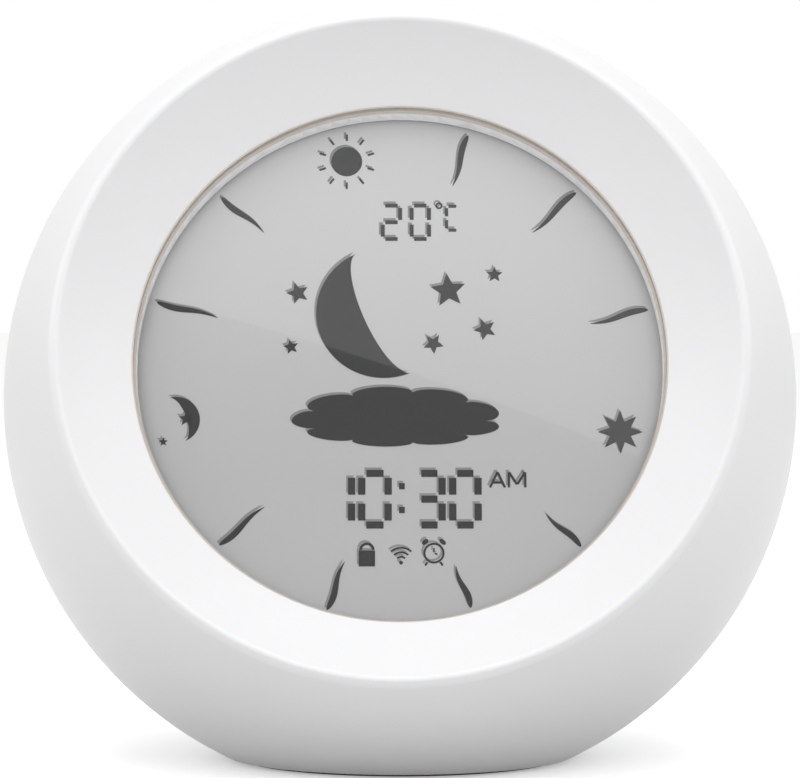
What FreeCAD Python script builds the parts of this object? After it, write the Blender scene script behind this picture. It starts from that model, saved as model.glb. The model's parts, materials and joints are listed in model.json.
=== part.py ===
"""A ball-shaped bedside alarm clock with a round display and a night light.

Millimetres. The origin is the middle of the base, on the table top.
+Z is up and the display looks towards -Y, leaning back.

Three frames are used. The world frame holds the base and the back.
The face frame has its origin at the centre of the ball, +Z out through the
display and +Y up along it. The top key's frame has +Z along its own axis.
"""
import FreeCAD, Part
import math
import os

from FreeCAD import Rotation, Vector

# The ball
ball_radius = 75.0
wall = 2.2
face_tilt = 17.0
flat_radius = 33.1
foot_proud = 0.6

# The dished rim round the display
opening_radius = 49.2
opening_depth = 28.5
crease_height = 41.0
crease_below_ball = 0.75
crease_round = 0.8
dish_sag = 0.5
lip_round = 4.0
opening_round = 0.3
window_ledge = 0.7
window_ledge_drop = 2.5
collar_wall = 2.6
collar_length = 3.7

# The joint between the two shells
tongue_depth = 1.0
tongue_lap = 0.6
tongue_root = 1.5
tongue_length = 1.5
tongue_clearance = 0.1
tongue_bottom_rise = 23.0
seam_width = 0.35
seam_depth = 0.3

# The window and its gasket
window_thickness = 2.0
window_clearance = 0.05
gasket_wall = 0.25
gasket_foot = 0.3

# The liquid crystal display, from the front to the back
foam_thickness = 0.5
foam_width = 2.4
foam_fit = 0.1
glass_overlap = 3.5
glass_thickness = 1.1
glass_front_cut = 2.4
glass_rear_cut = 0.8
crystal_thickness = 0.2
crystal_inset = 1.0
diffuser_thickness = 0.4
guide_inset = 0.5
guide_thickness = 3.0
guide_cut = 1.7
reflector_thickness = 0.3
backlight_led_count = 6
backlight_led_pitch = 3.8
backlight_led_size = (2.6, 1.2, 2.2)
backlight_strip_width = 24.0
backlight_strip_thickness = 0.8

# The tray that holds the display
tray_clearance = 0.3
tray_wall = 3.2
tray_floor = 1.5
tray_strip_room = 0.6
cable_slot_width = 16.0
cable_slot_height = 4.0
tray_screw_out = 6.5
tray_screw_angles = (45.0, 135.0, 225.0, 315.0)
tray_lug_radius = 4.0
tray_lug_thickness = 2.0
tray_boss_radius = 3.0
tray_screw_reach = 6.0

# The main board
board_thickness = 1.6
board_gap = 2.0
main_board_inset = 2.0
main_post_from_edge = 4.7
main_post_floor = 0.4
main_post_radius = 2.6
processor_size = (12.0, 12.0, 1.4)
processor_place = (-6.0, 8.0)
radio_board_size = (18.0, 24.0, 0.8)
radio_can_size = (15.0, 16.0, 2.4)
radio_place = (19.0, 22.0)
capacitor_radius = 3.2
capacitor_height = 8.0
capacitor_places = ((-24.0, 18.0), (-24.0, 9.0), (-24.0, 0.0))
connector_size = (10.0, 5.0, 5.0)
connector_places = ((-16.0, -26.0), (0.0, -26.0), (16.0, -26.0))

# The night light
ring_board_drop = 3.3
ring_board_width = 5.7
ring_board_gap = 1.3
ring_post_radius = 2.4
night_led_count = 16
# The posts stand between lamps, counted in lamps from +X
ring_post_steps = (1, 7, 9, 15)
ring_board_notch_gap = 0.5
night_led_size = (3.5, 2.8, 1.4)

# Screws
screw_shank_radius = 1.1
screw_hole_clearance = 0.3
screw_head_radius = 2.4
screw_head_height = 1.7
screw_overlap = 0.5
main_screw_reach = 3.6
ring_screw_reach = 4.4
key_screw_reach = 7.0
key_pilot_reach = 6.5
speaker_screw_reach = 5.5
speaker_pilot_reach = 4.0

# The screws that pull the two shells together
shell_screw_from_ball = 9.1
shell_screw_angle = 30.0
shell_boss_radius = 3.4
shell_boss_length = 8.0
shell_well_radius = 2.9
shell_well_wall = 1.2
shell_screw_floor = 4.0
shell_screw_reach = 6.5
shell_web_half_width = 1.0

# The base
base_inset = 1.9
base_clearance = 0.2
base_thickness = 2.4
floor_thickness = 2.0
floor_overhang = 4.9
foot_inset = 0.6
foot_width = 3.4
foot_thickness = 1.3
foot_clearance = 0.1
base_screw_angles = (60.0, 120.0, 240.0, 300.0)
base_screw_sink = 0.8
base_screw_stop = 2.0
base_boss_radius = 3.0
base_boss_height = 6.0

# The back-up cells and their bay
cell_radius = 5.25
cell_length = 43.5
cell_nub_radius = 1.9
cell_nub_length = 1.2
cell_gap = 0.3
cell_end_room = 1.85
cell_side_room = 0.25
bay_wall = 1.2
bay_headroom = 0.7
bay_floor_gap = 0.3
contact_thickness = 0.4
contact_half_height = 4.0
contact_spring_radius = 2.6
contact_wire_radius = 0.3
contact_side_gap = 1.0

# The door of the bay
door_clearance = 0.3
door_thickness = 1.7
door_recess = 0.1
door_tab_x = 10.0
door_tab_width = 4.0
door_tab_reach = 1.2
door_tab_thickness = 1.0
door_tab_lift = 0.25
door_tab_slot_height = 3.0
door_notch_half_width = 6.0
door_notch_depth = 0.6
door_notch_width = 2.4

# The keys on the back
key_rise = 26.0
key_places = {"alarm_key": -27.0, "down_key": -9.0, "up_key": 9.0, "mode_key": 27.0}
key_radius = 5.95
key_clearance = 0.25
key_proud = 1.2
key_edge_round = 0.5
key_travel = 1.0
key_seat_below_wall = 1.1
key_roof = 1.0
key_collar_wall = 2.0
key_flange_overhang = 1.6
key_flange_thickness = 1.3
key_stem_radius = 1.7
key_stem_length = 1.8
key_skirt_wall = 1.4
key_hollow_depth = 0.6
key_hollow_gap = 0.6

# Push switches under every key
plunger_radius = 1.6
plunger_clearance = 0.05
plunger_length = 4.0
plunger_out = 1.8
switch_size = 6.2
switch_height = 4.6
switch_floor_gap = 0.2
key_board_half_length = 34.0
key_board_half_height = 11.5
key_post_x = 18.0
key_post_rise = 9.4
key_post_radius = 2.7

# The large key on top, towards the back
top_key_lean = 28.0
top_key_radius = 14.0
top_key_clearance = 0.25
top_key_proud = 0.9
top_key_seat_below_wall = 5.5
top_key_roof = 1.0
top_key_collar_wall = 2.2
top_key_flange_overhang = 1.6
top_key_stem_length = 2.6
top_post_x = 19.6
top_board_half_length = 23.0
top_board_half_width = 8.0

# The loudspeaker
speaker_drop = 14.0
speaker_radius = 18.0
speaker_seat_below_wall = 1.0
speaker_seat_width = 2.6
speaker_gasket = 0.6
speaker_rim = 1.5
basket_depth = 9.0
basket_back_radius = 10.0
basket_wall = 0.8
magnet_radius = 11.5
magnet_depth = 6.0
cone_thickness = 0.4
cone_depth = 4.5
cone_centre_radius = 5.0
clamp_thickness = 2.0
clamp_circle = 22.4
clamp_angles = (90.0, 210.0, 330.0)
clamp_post_radius = 2.7
clamp_post_overlap = 1.0
clamp_lug_wall = 0.6
clamp_gap = 0.3
coil_gap = 0.4
grille_hole_radius = 0.9
grille_rings = (0, 6, 12, 18)
grille_pitch = 4.0

# The power inlet
inlet_drop = 44.0
inlet_recess_half_width = 8.0
inlet_recess_half_height = 5.0
inlet_recess_corner = 3.0
inlet_recess_depth = 5.74
inlet_pad_wall = 2.0
inlet_pad_depth = 2.2
socket_width = 8.94
socket_height = 3.2
socket_wall = 0.3
socket_length = 7.3
socket_corner = 1.5
socket_clearance = 0.15
tongue_plate_width = 6.6
tongue_plate_thickness = 0.7
tongue_plate_setback = 0.8
inlet_board_half_width = 9.0
inlet_board_length = 15.0
shelf_thickness = 1.6
sensor_radius = 1.2
sensor_leg_radius = 0.4
sensor_leg_height = 4.0
sensor_from_end = 3.0
sensor_from_side = 2.0

# Lengths that follow from the ones above
flat_drop = math.sqrt(ball_radius ** 2 - flat_radius ** 2)
centre_height = flat_drop + foot_proud
flat_height = foot_proud
inner_radius = ball_radius - wall
crease_radius = math.sqrt((ball_radius - crease_below_ball) ** 2 - crease_height ** 2)
collar_inner_radius = opening_radius - window_ledge
window_ledge_height = opening_depth - window_ledge_drop
collar_end_height = window_ledge_height - collar_length
tongue_bottom_drop = ball_radius - tongue_bottom_rise
glass_radius = collar_inner_radius + glass_overlap
glass_front_flat = glass_radius - glass_front_cut
glass_rear_flat = glass_radius - glass_rear_cut
crystal_radius = glass_radius - crystal_inset
guide_radius = glass_radius - guide_inset
guide_flat = guide_radius - guide_cut
tray_screw_radius = glass_radius + tray_screw_out
main_board_radius = glass_radius - main_board_inset
main_post_offset = (main_board_radius - main_post_from_edge) * math.sqrt(0.5)
ring_board_height = collar_end_height - ring_board_drop
ring_board_top = ring_board_height + board_thickness
ring_board_outer = math.sqrt(inner_radius ** 2 - ring_board_top ** 2) - ring_board_gap
ring_board_inner = ring_board_outer - ring_board_width
shell_screw_reach_out = ball_radius - shell_screw_from_ball
shell_screw_x = shell_screw_reach_out * math.cos(math.radians(shell_screw_angle))
shell_screw_rise = shell_screw_reach_out * math.sin(math.radians(shell_screw_angle))
base_radius = flat_radius - base_inset
floor_radius = flat_radius + floor_overhang
foot_outer_radius = base_radius - foot_inset
foot_inner_radius = foot_outer_radius - foot_width
base_screw_circle = (foot_outer_radius + foot_inner_radius) / 2
base_screw_seat = foot_thickness + base_screw_sink
plate_top = flat_height + base_thickness
floor_top = plate_top + floor_thickness
bay_half_length = cell_length / 2 + cell_end_room
bay_half_width = 2 * cell_radius + cell_gap / 2 + cell_side_room
key_reach = math.hypot(max(key_places.values()) + key_radius, key_rise + key_radius)
key_seat_y = math.sqrt(ball_radius ** 2 - key_reach ** 2) - wall - key_seat_below_wall
top_key_seat = math.sqrt(ball_radius ** 2 - top_key_radius ** 2) - wall - top_key_seat_below_wall
speaker_reach = speaker_drop + speaker_radius
speaker_seat_y = math.sqrt(ball_radius ** 2 - speaker_reach ** 2) - wall - speaker_seat_below_wall
inlet_face_y = math.sqrt(ball_radius ** 2 - inlet_drop ** 2) - inlet_recess_depth
window_top = window_ledge_height + gasket_foot + window_thickness
window_radius = opening_radius - gasket_wall - window_clearance
foam_top = collar_end_height
glass_top = foam_top - foam_thickness
crystal_top = glass_top - glass_thickness
rear_glass_top = crystal_top - crystal_thickness
diffuser_top = rear_glass_top - glass_thickness
guide_top = diffuser_top - diffuser_thickness
reflector_top = guide_top - guide_thickness
tray_floor_top = reflector_top - reflector_thickness
tray_bottom = tray_floor_top - tray_floor
main_board_top = tray_bottom - board_gap
main_board_bottom = main_board_top - board_thickness

origin = Vector(0, 0, 0)
along_x = Vector(1, 0, 0)
along_y = Vector(0, 1, 0)
along_z = Vector(0, 0, 1)
centre = Vector(0, 0, centre_height)
# A length that is sure to reach past the whole ball
past_all = 3 * ball_radius


def disc(radius, low, high):
    """A cylinder on the Z axis between two heights."""
    return Part.makeCylinder(radius, high - low, Vector(0, 0, low), along_z)


def ring(inner, outer, low, high):
    """A flat ring on the Z axis between two heights."""
    return disc(outer, low, high).cut(disc(inner, low - 1, high + 1))


def block(x_low, x_high, y_low, y_high, z_low, z_high):
    """A box between three pairs of limits."""
    size = (x_high - x_low, y_high - y_low, z_high - z_low)
    return Part.makeBox(*size, Vector(x_low, y_low, z_low))


def peg(x, y, radius, low, high):
    """A cylinder parallel to Z at a place."""
    return Part.makeCylinder(radius, high - low, Vector(x, y, low), along_z)


def rod(x, z, radius, low, high):
    """A cylinder parallel to Y at a place."""
    return Part.makeCylinder(radius, high - low, Vector(x, low, z), along_y)


def rounded_block(half_x, half_z, corner, x, z, y_low, y_high):
    """A block along Y with its four long edges rounded."""
    body = block(x - half_x, x + half_x, y_low, y_high, z - half_z, z + half_z)
    edges = [e for e in body.Edges if abs(e.tangentAt(e.FirstParameter).y) > 0.9]
    return body.makeFillet(corner, edges)


def polar(radius, degrees):
    """The two coordinates of a point on a circle."""
    angle = math.radians(degrees)
    return radius * math.cos(angle), radius * math.sin(angle)


def fuse(shapes):
    """One solid from pieces that meet."""
    return shapes[0].fuse(shapes[1:]).removeSplitter()


def from_face(shape):
    """Moves a piece from the face frame to the world frame."""
    moved = shape.copy()
    moved.Placement = FreeCAD.Placement(centre, Rotation(along_x, 90.0 - face_tilt))
    return moved


def from_top_key(shape):
    """Moves a piece from the top key's frame to the world frame."""
    moved = shape.copy()
    moved.Placement = FreeCAD.Placement(centre, Rotation(along_x, -top_key_lean))
    return moved


def ball(radius):
    """A whole ball about the clock's centre."""
    return Part.makeSphere(radius, centre)


def profile_solid(edges):
    """A solid turned about Z from a closed outline in the XZ plane."""
    wire = Part.Wire(Part.__sortEdges__(edges))
    return Part.Face(wire).revolve(origin, along_z, 360)


def arc(start, middle, end):
    """A round edge through three points."""
    return Part.Arc(start, middle, end).toShape()


def line(start, end):
    """A straight edge between two points."""
    return Part.LineSegment(start, end).toShape()


def lip_points(depth):
    """The crease and the point where the lip meets the ball, offset inwards.

    The lip is an arc of its own radius that touches the ball and ends
    in the crease at the top of the dish.
    """
    lip_centre_distance = ball_radius - lip_round
    crease_distance = math.hypot(crease_radius, crease_height)
    crease_angle = math.atan2(crease_radius, crease_height)
    squares = lip_centre_distance ** 2 + crease_distance ** 2 - lip_round ** 2
    turn = math.acos(squares / (2 * lip_centre_distance * crease_distance))
    touch_angle = crease_angle + turn
    touch = Vector(math.sin(touch_angle), 0, math.cos(touch_angle))
    lip_centre = touch * lip_centre_distance
    crease = Vector(crease_radius, 0, crease_height)
    outward = (crease - lip_centre).normalize()
    halfway = (outward + touch).normalize()
    radius = lip_round - depth
    ends = (lip_centre + outward * radius, lip_centre + halfway * radius)
    return ends[0], ends[1], lip_centre + touch * radius


def dish_arc(start, end):
    """The slightly hollow slope of the dish, from its foot to its crest."""
    middle = (start + end) * 0.5
    chord = (end - start).normalize()
    hollow = Vector(chord.z, 0, -chord.x) * dish_sag
    return arc(start, middle + hollow, end)


def outer_skin():
    """The ball with its dish and display opening, in the face frame."""
    crease, lip_middle, touch = lip_points(0.0)
    foot = Vector(opening_radius, 0, opening_depth)
    side = Vector(ball_radius, 0, 0)
    touch_angle = math.atan2(touch.x, touch.z)
    between = (touch_angle + math.pi / 2) / 2
    flank = Vector(math.sin(between), 0, math.cos(between)) * ball_radius
    low_flank = Vector(ball_radius, 0, -ball_radius) * math.sqrt(0.5)
    edges = [
        line(Vector(0, 0, -ball_radius), Vector(0, 0, opening_depth)),
        line(Vector(0, 0, opening_depth), foot),
        dish_arc(foot, crease),
        arc(crease, lip_middle, touch),
        arc(touch, flank, side),
        arc(side, low_flank, Vector(0, 0, -ball_radius)),
    ]
    skin = profile_solid(edges)
    skin = round_circle(skin, crease_radius, crease_height, crease_round)
    return round_circle(skin, opening_radius, opening_depth, opening_round)


def round_circle(body, radius, height, rounding):
    """Rounds the circular edge that lies at a radius and a height."""
    edges = [
        edge for edge in body.Edges
        if abs(edge.BoundBox.ZMax - height) < 0.01
        and abs(edge.BoundBox.ZMin - height) < 0.01
        and abs(edge.BoundBox.XMax - radius) < 0.01
    ]
    return body.makeFillet(rounding, edges)


def inner_space():
    """The hollow of the case behind the dish, in the face frame."""
    slope = Vector(crease_radius - opening_radius, 0, crease_height - opening_depth)
    slope.normalize()
    inward = Vector(slope.z, 0, -slope.x) * wall
    crest = Vector(crease_radius, 0, crease_height) + inward
    foot = Vector(opening_radius, 0, opening_depth) + inward
    crest_angle = math.atan2(crest.x, crest.z)
    crest = Vector(math.sin(crest_angle), 0, math.cos(crest_angle)) * inner_radius
    foot_height = window_ledge_height - wall
    side = Vector(inner_radius, 0, 0)
    between = (crest_angle + math.pi / 2) / 2
    flank = Vector(math.sin(between), 0, math.cos(between)) * inner_radius
    low_flank = Vector(inner_radius, 0, -inner_radius) * math.sqrt(0.5)
    collar_side = collar_inner_radius + collar_wall
    edges = [
        line(Vector(0, 0, -inner_radius), Vector(0, 0, foot_height)),
        line(Vector(0, 0, foot_height), Vector(collar_side, 0, foot_height)),
        line(Vector(collar_side, 0, foot_height), Vector(foot.x, 0, foot.z)),
        line(Vector(foot.x, 0, foot.z), crest),
        arc(crest, flank, side),
        arc(side, low_flank, Vector(0, 0, -inner_radius)),
    ]
    return profile_solid(edges)


def seam_cut():
    """A narrow groove round the ball at the joint of the two shells."""
    half = seam_width / 2
    band = rod(0, centre_height, ball_radius + 1, -half, half)
    return band.cut(rod(0, centre_height, ball_radius - seam_depth, -half, half))


def seam_band(inner, outer, front_y, back_y):
    """A hoop at the joint of the shells, open at the bottom."""
    band = rod(0, centre_height, outer, front_y, back_y)
    band = band.cut(rod(0, centre_height, inner, front_y - 1, back_y + 1))
    low = centre_height - tongue_bottom_drop
    return band.common(block(-past_all, past_all, front_y, back_y, low, past_all))


def tongue_inner():
    """Radius of the inside of the hoop that the rear shell pushes forward."""
    return inner_radius - tongue_lap


def base_recess():
    """The room for the base plate and, through the floor, for the bay."""
    plate = disc(base_radius + base_clearance, -1, plate_top)
    half_length = bay_half_length + bay_wall + base_clearance
    half_width = bay_half_width + bay_wall + base_clearance
    bay = block(-half_length, half_length, -half_width, half_width, 0, floor_top + 1)
    return plate.fuse(bay)


def floor_with_bosses(front):
    """The inner floor of one shell with its two screw bosses."""
    pieces = [disc(floor_radius, flat_height, floor_top)]
    for degrees in base_screw_angles:
        x, y = polar(base_screw_circle, degrees)
        if (y < 0) == front:
            pieces.append(peg(x, y, base_boss_radius, plate_top, floor_top + base_boss_height))
    floor = fuse(pieces).common(ball(ball_radius - wall / 2))
    floor = floor.cut(base_recess())
    for degrees in base_screw_angles:
        x, y = polar(base_screw_circle, degrees)
        pilot_top = floor_top + base_boss_height - 1
        floor = floor.cut(peg(x, y, screw_shank_radius, flat_height, pilot_top))
    return floor


def half_space(front):
    """Everything in front of the joint of the shells, or behind it."""
    if front:
        return block(-past_all, past_all, -past_all, 0, flat_height, past_all)
    return block(-past_all, past_all, 0, past_all, flat_height, past_all)


def shell_screw_places():
    """Where the screws between the two shells stand, in X and Z."""
    return [
        (side * shell_screw_x, centre_height + lift * shell_screw_rise)
        for side in (-1, 1)
        for lift in (-1, 1)
    ]


def wall_web(x, z, half_width, y_low, y_high):
    """A rib from a boss straight out to the wall of the ball."""
    reach = math.hypot(x, z - centre_height)
    rib = block(reach, ball_radius, y_low, y_high, -half_width, half_width)
    turn = math.degrees(math.atan2(z - centre_height, x))
    rib.rotate(origin, along_y, -turn)
    rib.translate(centre)
    return rib.common(ball(ball_radius - wall / 2))


def ring_places():
    """Where the posts of the night light's board stand, in the face frame."""
    middle = (ring_board_inner + ring_board_outer) / 2
    return [polar(middle, 360.0 * step / night_led_count) for step in ring_post_steps]


def tray_places():
    """Where the screws of the display tray stand, in the face frame."""
    return [polar(tray_screw_radius, degrees) for degrees in tray_screw_angles]


def front_shell():
    """The front of the case with lip, dish, display collar and bosses."""
    skin = outer_skin()
    inside = ball(ball_radius - wall / 2)
    shell = skin.cut(inner_space())
    collar = disc(collar_inner_radius + collar_wall, collar_end_height, opening_depth - wall / 2)
    shell = shell.fuse(collar)
    shell = shell.cut(disc(opening_radius, window_ledge_height, opening_depth + 1))
    shell = shell.cut(disc(collar_inner_radius, 0, window_ledge_height + 1))
    solid_skin = skin.cut(disc(opening_radius, window_ledge_height, opening_depth + 1))
    posts = []
    for x, y in tray_places():
        posts.append(peg(x, y, tray_boss_radius, tray_bottom + tray_lug_thickness, crease_height))
    for x, y in ring_places():
        low = ring_board_height + board_thickness
        posts.append(peg(x, y, ring_post_radius, low, crease_height))
    limit = post_limit(solid_skin)
    trimmed = [post.common(limit) for post in posts]
    shell = fuse([shell] + trimmed)
    for x, y in tray_places():
        low = tray_bottom
        high = tray_bottom + tray_lug_thickness + tray_screw_reach + 1
        shell = shell.cut(peg(x, y, screw_shank_radius, low, high))
    for x, y in ring_places():
        low = ring_board_height
        high = low + board_thickness + screw_head_height + 3
        shell = shell.cut(peg(x, y, screw_shank_radius, low, high))
    shell = from_face(shell)
    extra = [floor_with_bosses(True)]
    for x, z in shell_screw_places():
        boss = rod(x, z, shell_boss_radius, -shell_boss_length, 0).common(inside)
        extra.append(boss)
        extra.append(wall_web(x, z, shell_web_half_width, -shell_boss_length, 0))
    shell = shell.fuse(extra)
    shell = shell.cut(base_recess())
    for x, z in shell_screw_places():
        shell = shell.cut(rod(x, z, screw_shank_radius, -shell_screw_reach - 0.5, 1))
    shell = shell.cut(seam_band(
        tongue_inner() - tongue_clearance, inner_radius + tongue_depth + tongue_clearance,
        -tongue_length - tongue_clearance, 1,
    ))
    shell = shell.cut(seam_cut())
    return shell.common(half_space(True)).removeSplitter()


def post_limit(skin):
    """The room that a post may fill: it ends inside the wall it grows from."""
    lowered = skin.copy()
    lowered.translate(Vector(0, 0, -wall / 2))
    return lowered.common(Part.makeSphere(ball_radius - wall / 2))


def key_centres():
    """Name, X and Z of each key on the back."""
    return [(name, x, centre_height + key_rise) for name, x in key_places.items()]


def key_posts():
    """Where the two posts of the key board stand, in X and Z."""
    middle = centre_height + key_rise
    return [(-key_post_x, middle + key_post_rise), (key_post_x, middle - key_post_rise)]


def switch_base_y():
    """Y of the face of the key board that the switches sit on."""
    stem_end = key_seat_y - key_flange_thickness - key_stem_length
    return stem_end - plunger_out - switch_height


def top_switch_base():
    """Height of the top key's board in the key's own frame."""
    stem_end = top_key_seat - key_flange_thickness - top_key_stem_length
    return stem_end - plunger_out - switch_height


def speaker_z():
    """Height of the loudspeaker's axis."""
    return centre_height - speaker_drop


def clamp_places():
    """Where the posts of the loudspeaker's clamp stand, in X and Z."""
    places = []
    for degrees in clamp_angles:
        x, z = polar(clamp_circle, degrees)
        places.append((x, z + speaker_z()))
    return places


def clamp_y():
    """Y of the front face of the loudspeaker's clamp."""
    return speaker_seat_y - speaker_gasket - speaker_rim


def grille_holes():
    """The holes of the loudspeaker grille, in circles round the middle."""
    holes = []
    for index, count in enumerate(grille_rings):
        for step in range(max(count, 1)):
            x, z = polar(index * grille_pitch, 360.0 * step / max(count, 1))
            hole = rod(x, z + speaker_z(), grille_hole_radius, speaker_seat_y, past_all)
            holes.append(hole)
    return holes


def inlet_z():
    """Height of the middle of the power inlet."""
    return centre_height - inlet_drop


def inlet_shelf_top():
    """Height of the face that the inlet's board lies on."""
    return inlet_z() - socket_height / 2 - board_thickness


def rear_shell():
    """The back of the case with key guides, grille and power inlet."""
    inside = ball(ball_radius - wall / 2)
    shell = ball(ball_radius).cut(ball(inner_radius))
    shell = shell.common(half_space(False))
    extra = [floor_with_bosses(False)]
    for name, x, z in key_centres():
        collar = key_radius + key_clearance + key_collar_wall
        extra.append(rod(x, z, collar, key_seat_y, ball_radius))
    for x, z in key_posts():
        extra.append(rod(x, z, key_post_radius, switch_base_y(), ball_radius))
    seat = rod(0, speaker_z(), speaker_radius, speaker_seat_y, ball_radius)
    seat = seat.cut(rod(0, speaker_z(), speaker_radius - speaker_seat_width, 0, past_all))
    extra.append(seat)
    for x, z in clamp_places():
        extra.append(rod(x, z, clamp_post_radius, clamp_y(), ball_radius))
    pad_x = inlet_recess_half_width + inlet_pad_wall
    pad_z = inlet_recess_half_height + inlet_pad_wall
    pad_low = inlet_face_y - inlet_pad_depth
    pad = block(-pad_x, pad_x, pad_low, ball_radius, inlet_z() - pad_z, inlet_z() + pad_z)
    extra.append(pad)
    shelf_low = inlet_face_y - inlet_pad_depth - inlet_board_length
    top = inlet_shelf_top()
    half = inlet_board_half_width
    extra.append(block(-half, half, shelf_low, inlet_face_y, top - shelf_thickness, top))
    for x, z in shell_screw_places():
        extra.append(rod(x, z, shell_well_radius + shell_well_wall, 0, ball_radius))
    trimmed = [piece.common(inside) for piece in extra]
    top_collar = top_key_radius + top_key_clearance + top_key_collar_wall
    guide = from_top_key(disc(top_collar, top_key_seat, ball_radius)).common(inside)
    trimmed.append(guide)
    for side in (-1, 1):
        post = peg(side * top_post_x, 0, key_post_radius, top_switch_base(), ball_radius)
        trimmed.append(from_top_key(post).common(inside))
    shell = shell.fuse(trimmed)
    cuts = [base_recess(), seam_cut()]
    for name, x, z in key_centres():
        cuts.append(rod(x, z, key_radius + key_clearance, 0, past_all))
    for x, z in key_posts():
        cuts.append(rod(x, z, screw_shank_radius, 0, switch_base_y() + key_pilot_reach))
    for x, z in clamp_places():
        cuts.append(rod(x, z, screw_shank_radius, 0, clamp_y() + speaker_pilot_reach))
    hole = disc(top_key_radius + top_key_clearance, top_key_seat - 5, past_all)
    cuts.append(from_top_key(hole))
    for side in (-1, 1):
        pilot_top = top_switch_base() + key_pilot_reach
        pilot = peg(side * top_post_x, 0, screw_shank_radius, 0, pilot_top)
        cuts.append(from_top_key(pilot))
    for x, z in shell_screw_places():
        cuts.append(rod(x, z, shell_well_radius, shell_screw_floor, past_all))
        cuts.append(rod(x, z, screw_shank_radius + screw_hole_clearance, -1, past_all))
    recess = rounded_block(
        inlet_recess_half_width, inlet_recess_half_height, inlet_recess_corner,
        0, inlet_z(), inlet_face_y, past_all,
    )
    cuts.append(recess)
    slot = rounded_block(
        socket_width / 2 + socket_clearance, socket_height / 2 + socket_clearance,
        socket_corner, 0, inlet_z(), inlet_face_y - inlet_pad_depth - 1, past_all,
    )
    cuts.append(slot)
    cuts.extend(grille_holes())
    for cut in cuts:
        shell = shell.cut(cut)
    shell = shell.common(half_space(False))
    tongue_outer = inner_radius + tongue_depth
    tongue = seam_band(tongue_inner(), tongue_outer, -tongue_length, tongue_root)
    return fuse([shell, tongue])


def window_gasket():
    """The thin seal between the window and the edge of the dish."""
    top = window_top - 0.1
    band = ring(opening_radius - gasket_wall, opening_radius, window_ledge_height, top)
    foot_top = window_ledge_height + gasket_foot
    foot = ring(collar_inner_radius, opening_radius, window_ledge_height, foot_top)
    return fuse([band, foot])


def cut_flat(shape, flat):
    """Cuts the lower edge of a round sheet straight."""
    keep = block(-past_all, past_all, -flat, past_all, -past_all, past_all)
    return shape.common(keep)


def display_tray():
    """The moulded tray that holds the glass, the light guide and the board."""
    inner = glass_radius + tray_clearance
    outer = inner + tray_wall
    pieces = [ring(inner, outer, tray_bottom, glass_top), disc(outer, tray_bottom, tray_floor_top)]
    for x, y in tray_places():
        high = tray_bottom + tray_lug_thickness
        pieces.append(peg(x, y, tray_lug_radius, tray_bottom, high))
    for x, y in main_posts():
        pieces.append(peg(x, y, main_post_radius, main_board_top, tray_floor_top))
    tray = fuse(pieces)
    for x, y in tray_places():
        hole = screw_shank_radius + screw_hole_clearance
        tray = tray.cut(peg(x, y, hole, tray_bottom - 1, glass_top))
    for x, y in main_posts():
        pilot_top = tray_floor_top - main_post_floor
        tray = tray.cut(peg(x, y, screw_shank_radius, main_board_top - 1, pilot_top))
    half = backlight_strip_width / 2 + tray_clearance
    low = guide_flat + backlight_led_size[1] + backlight_strip_thickness + tray_strip_room
    tray = tray.cut(block(-half, half, -low, -guide_flat, tray_floor_top, guide_top))
    slot = cable_slot_width / 2
    slot_middle = -main_post_offset
    slot_cut = block(
        -slot, slot, slot_middle - cable_slot_height / 2, slot_middle + cable_slot_height / 2,
        tray_bottom - 1, tray_floor_top + 1,
    )
    return tray.cut(slot_cut)


def main_posts():
    """Where the main board is screwed to the tray, in the face frame."""
    step = main_post_offset
    return [(x, y) for x in (-step, step) for y in (-step, step)]


def backlight_strip():
    """The narrow board under the light guide, with its row of lamps."""
    half = backlight_strip_width / 2
    led_x, led_depth, led_height = backlight_led_size
    board_edge = -guide_flat - led_depth
    low = board_edge - backlight_strip_thickness
    pieces = [block(-half, half, low, board_edge, reflector_top, guide_top)]
    middle = (reflector_top + guide_top) / 2
    for index in range(backlight_led_count):
        x = (index - (backlight_led_count - 1) / 2) * backlight_led_pitch
        pieces.append(block(
            x - led_x / 2, x + led_x / 2, board_edge, -guide_flat,
            middle - led_height / 2, middle + led_height / 2,
        ))
    return fuse(pieces)


def screw(x, y, seat, reach):
    """A pan-head screw parallel to Z, its head below its shank."""
    head = peg(x, y, screw_head_radius, seat - screw_head_height, seat)
    shank = peg(x, y, screw_shank_radius, seat - screw_overlap, seat + reach)
    return fuse([head, shank])


def screw_along_y(x, z, head_y, reach, head_towards):
    """A screw parallel to Y; head_towards is +1 for a head at the back."""
    if head_towards > 0:
        head = rod(x, z, screw_head_radius, head_y, head_y + screw_head_height)
        shank = rod(x, z, screw_shank_radius, head_y - reach, head_y + screw_overlap)
    else:
        head = rod(x, z, screw_head_radius, head_y - screw_head_height, head_y)
        shank = rod(x, z, screw_shank_radius, head_y - screw_overlap, head_y + reach)
    return fuse([head, shank])


def main_board():
    """The round main board behind the display tray."""
    board = disc(main_board_radius, main_board_bottom, main_board_top)
    for x, y in main_posts():
        hole = screw_shank_radius + screw_hole_clearance
        board = board.cut(peg(x, y, hole, main_board_bottom - 1, main_board_top + 1))
    return board


def on_main_board(size, place):
    """A block on the back of the main board."""
    x, y = place
    width, height, depth = size
    return block(
        x - width / 2, x + width / 2, y - height / 2, y + height / 2,
        main_board_bottom - depth, main_board_bottom,
    )


def radio_module():
    """The wireless module: its small board and its metal can."""
    x, y = radio_place
    board = on_main_board(radio_board_size, radio_place)
    width, height, depth = radio_can_size
    can_top = main_board_bottom - radio_board_size[2]
    can = block(
        x - width / 2, x + width / 2, y - radio_board_size[1] / 2 + 1,
        y - radio_board_size[1] / 2 + 1 + height, can_top - depth, can_top,
    )
    return fuse([board, can])


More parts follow.
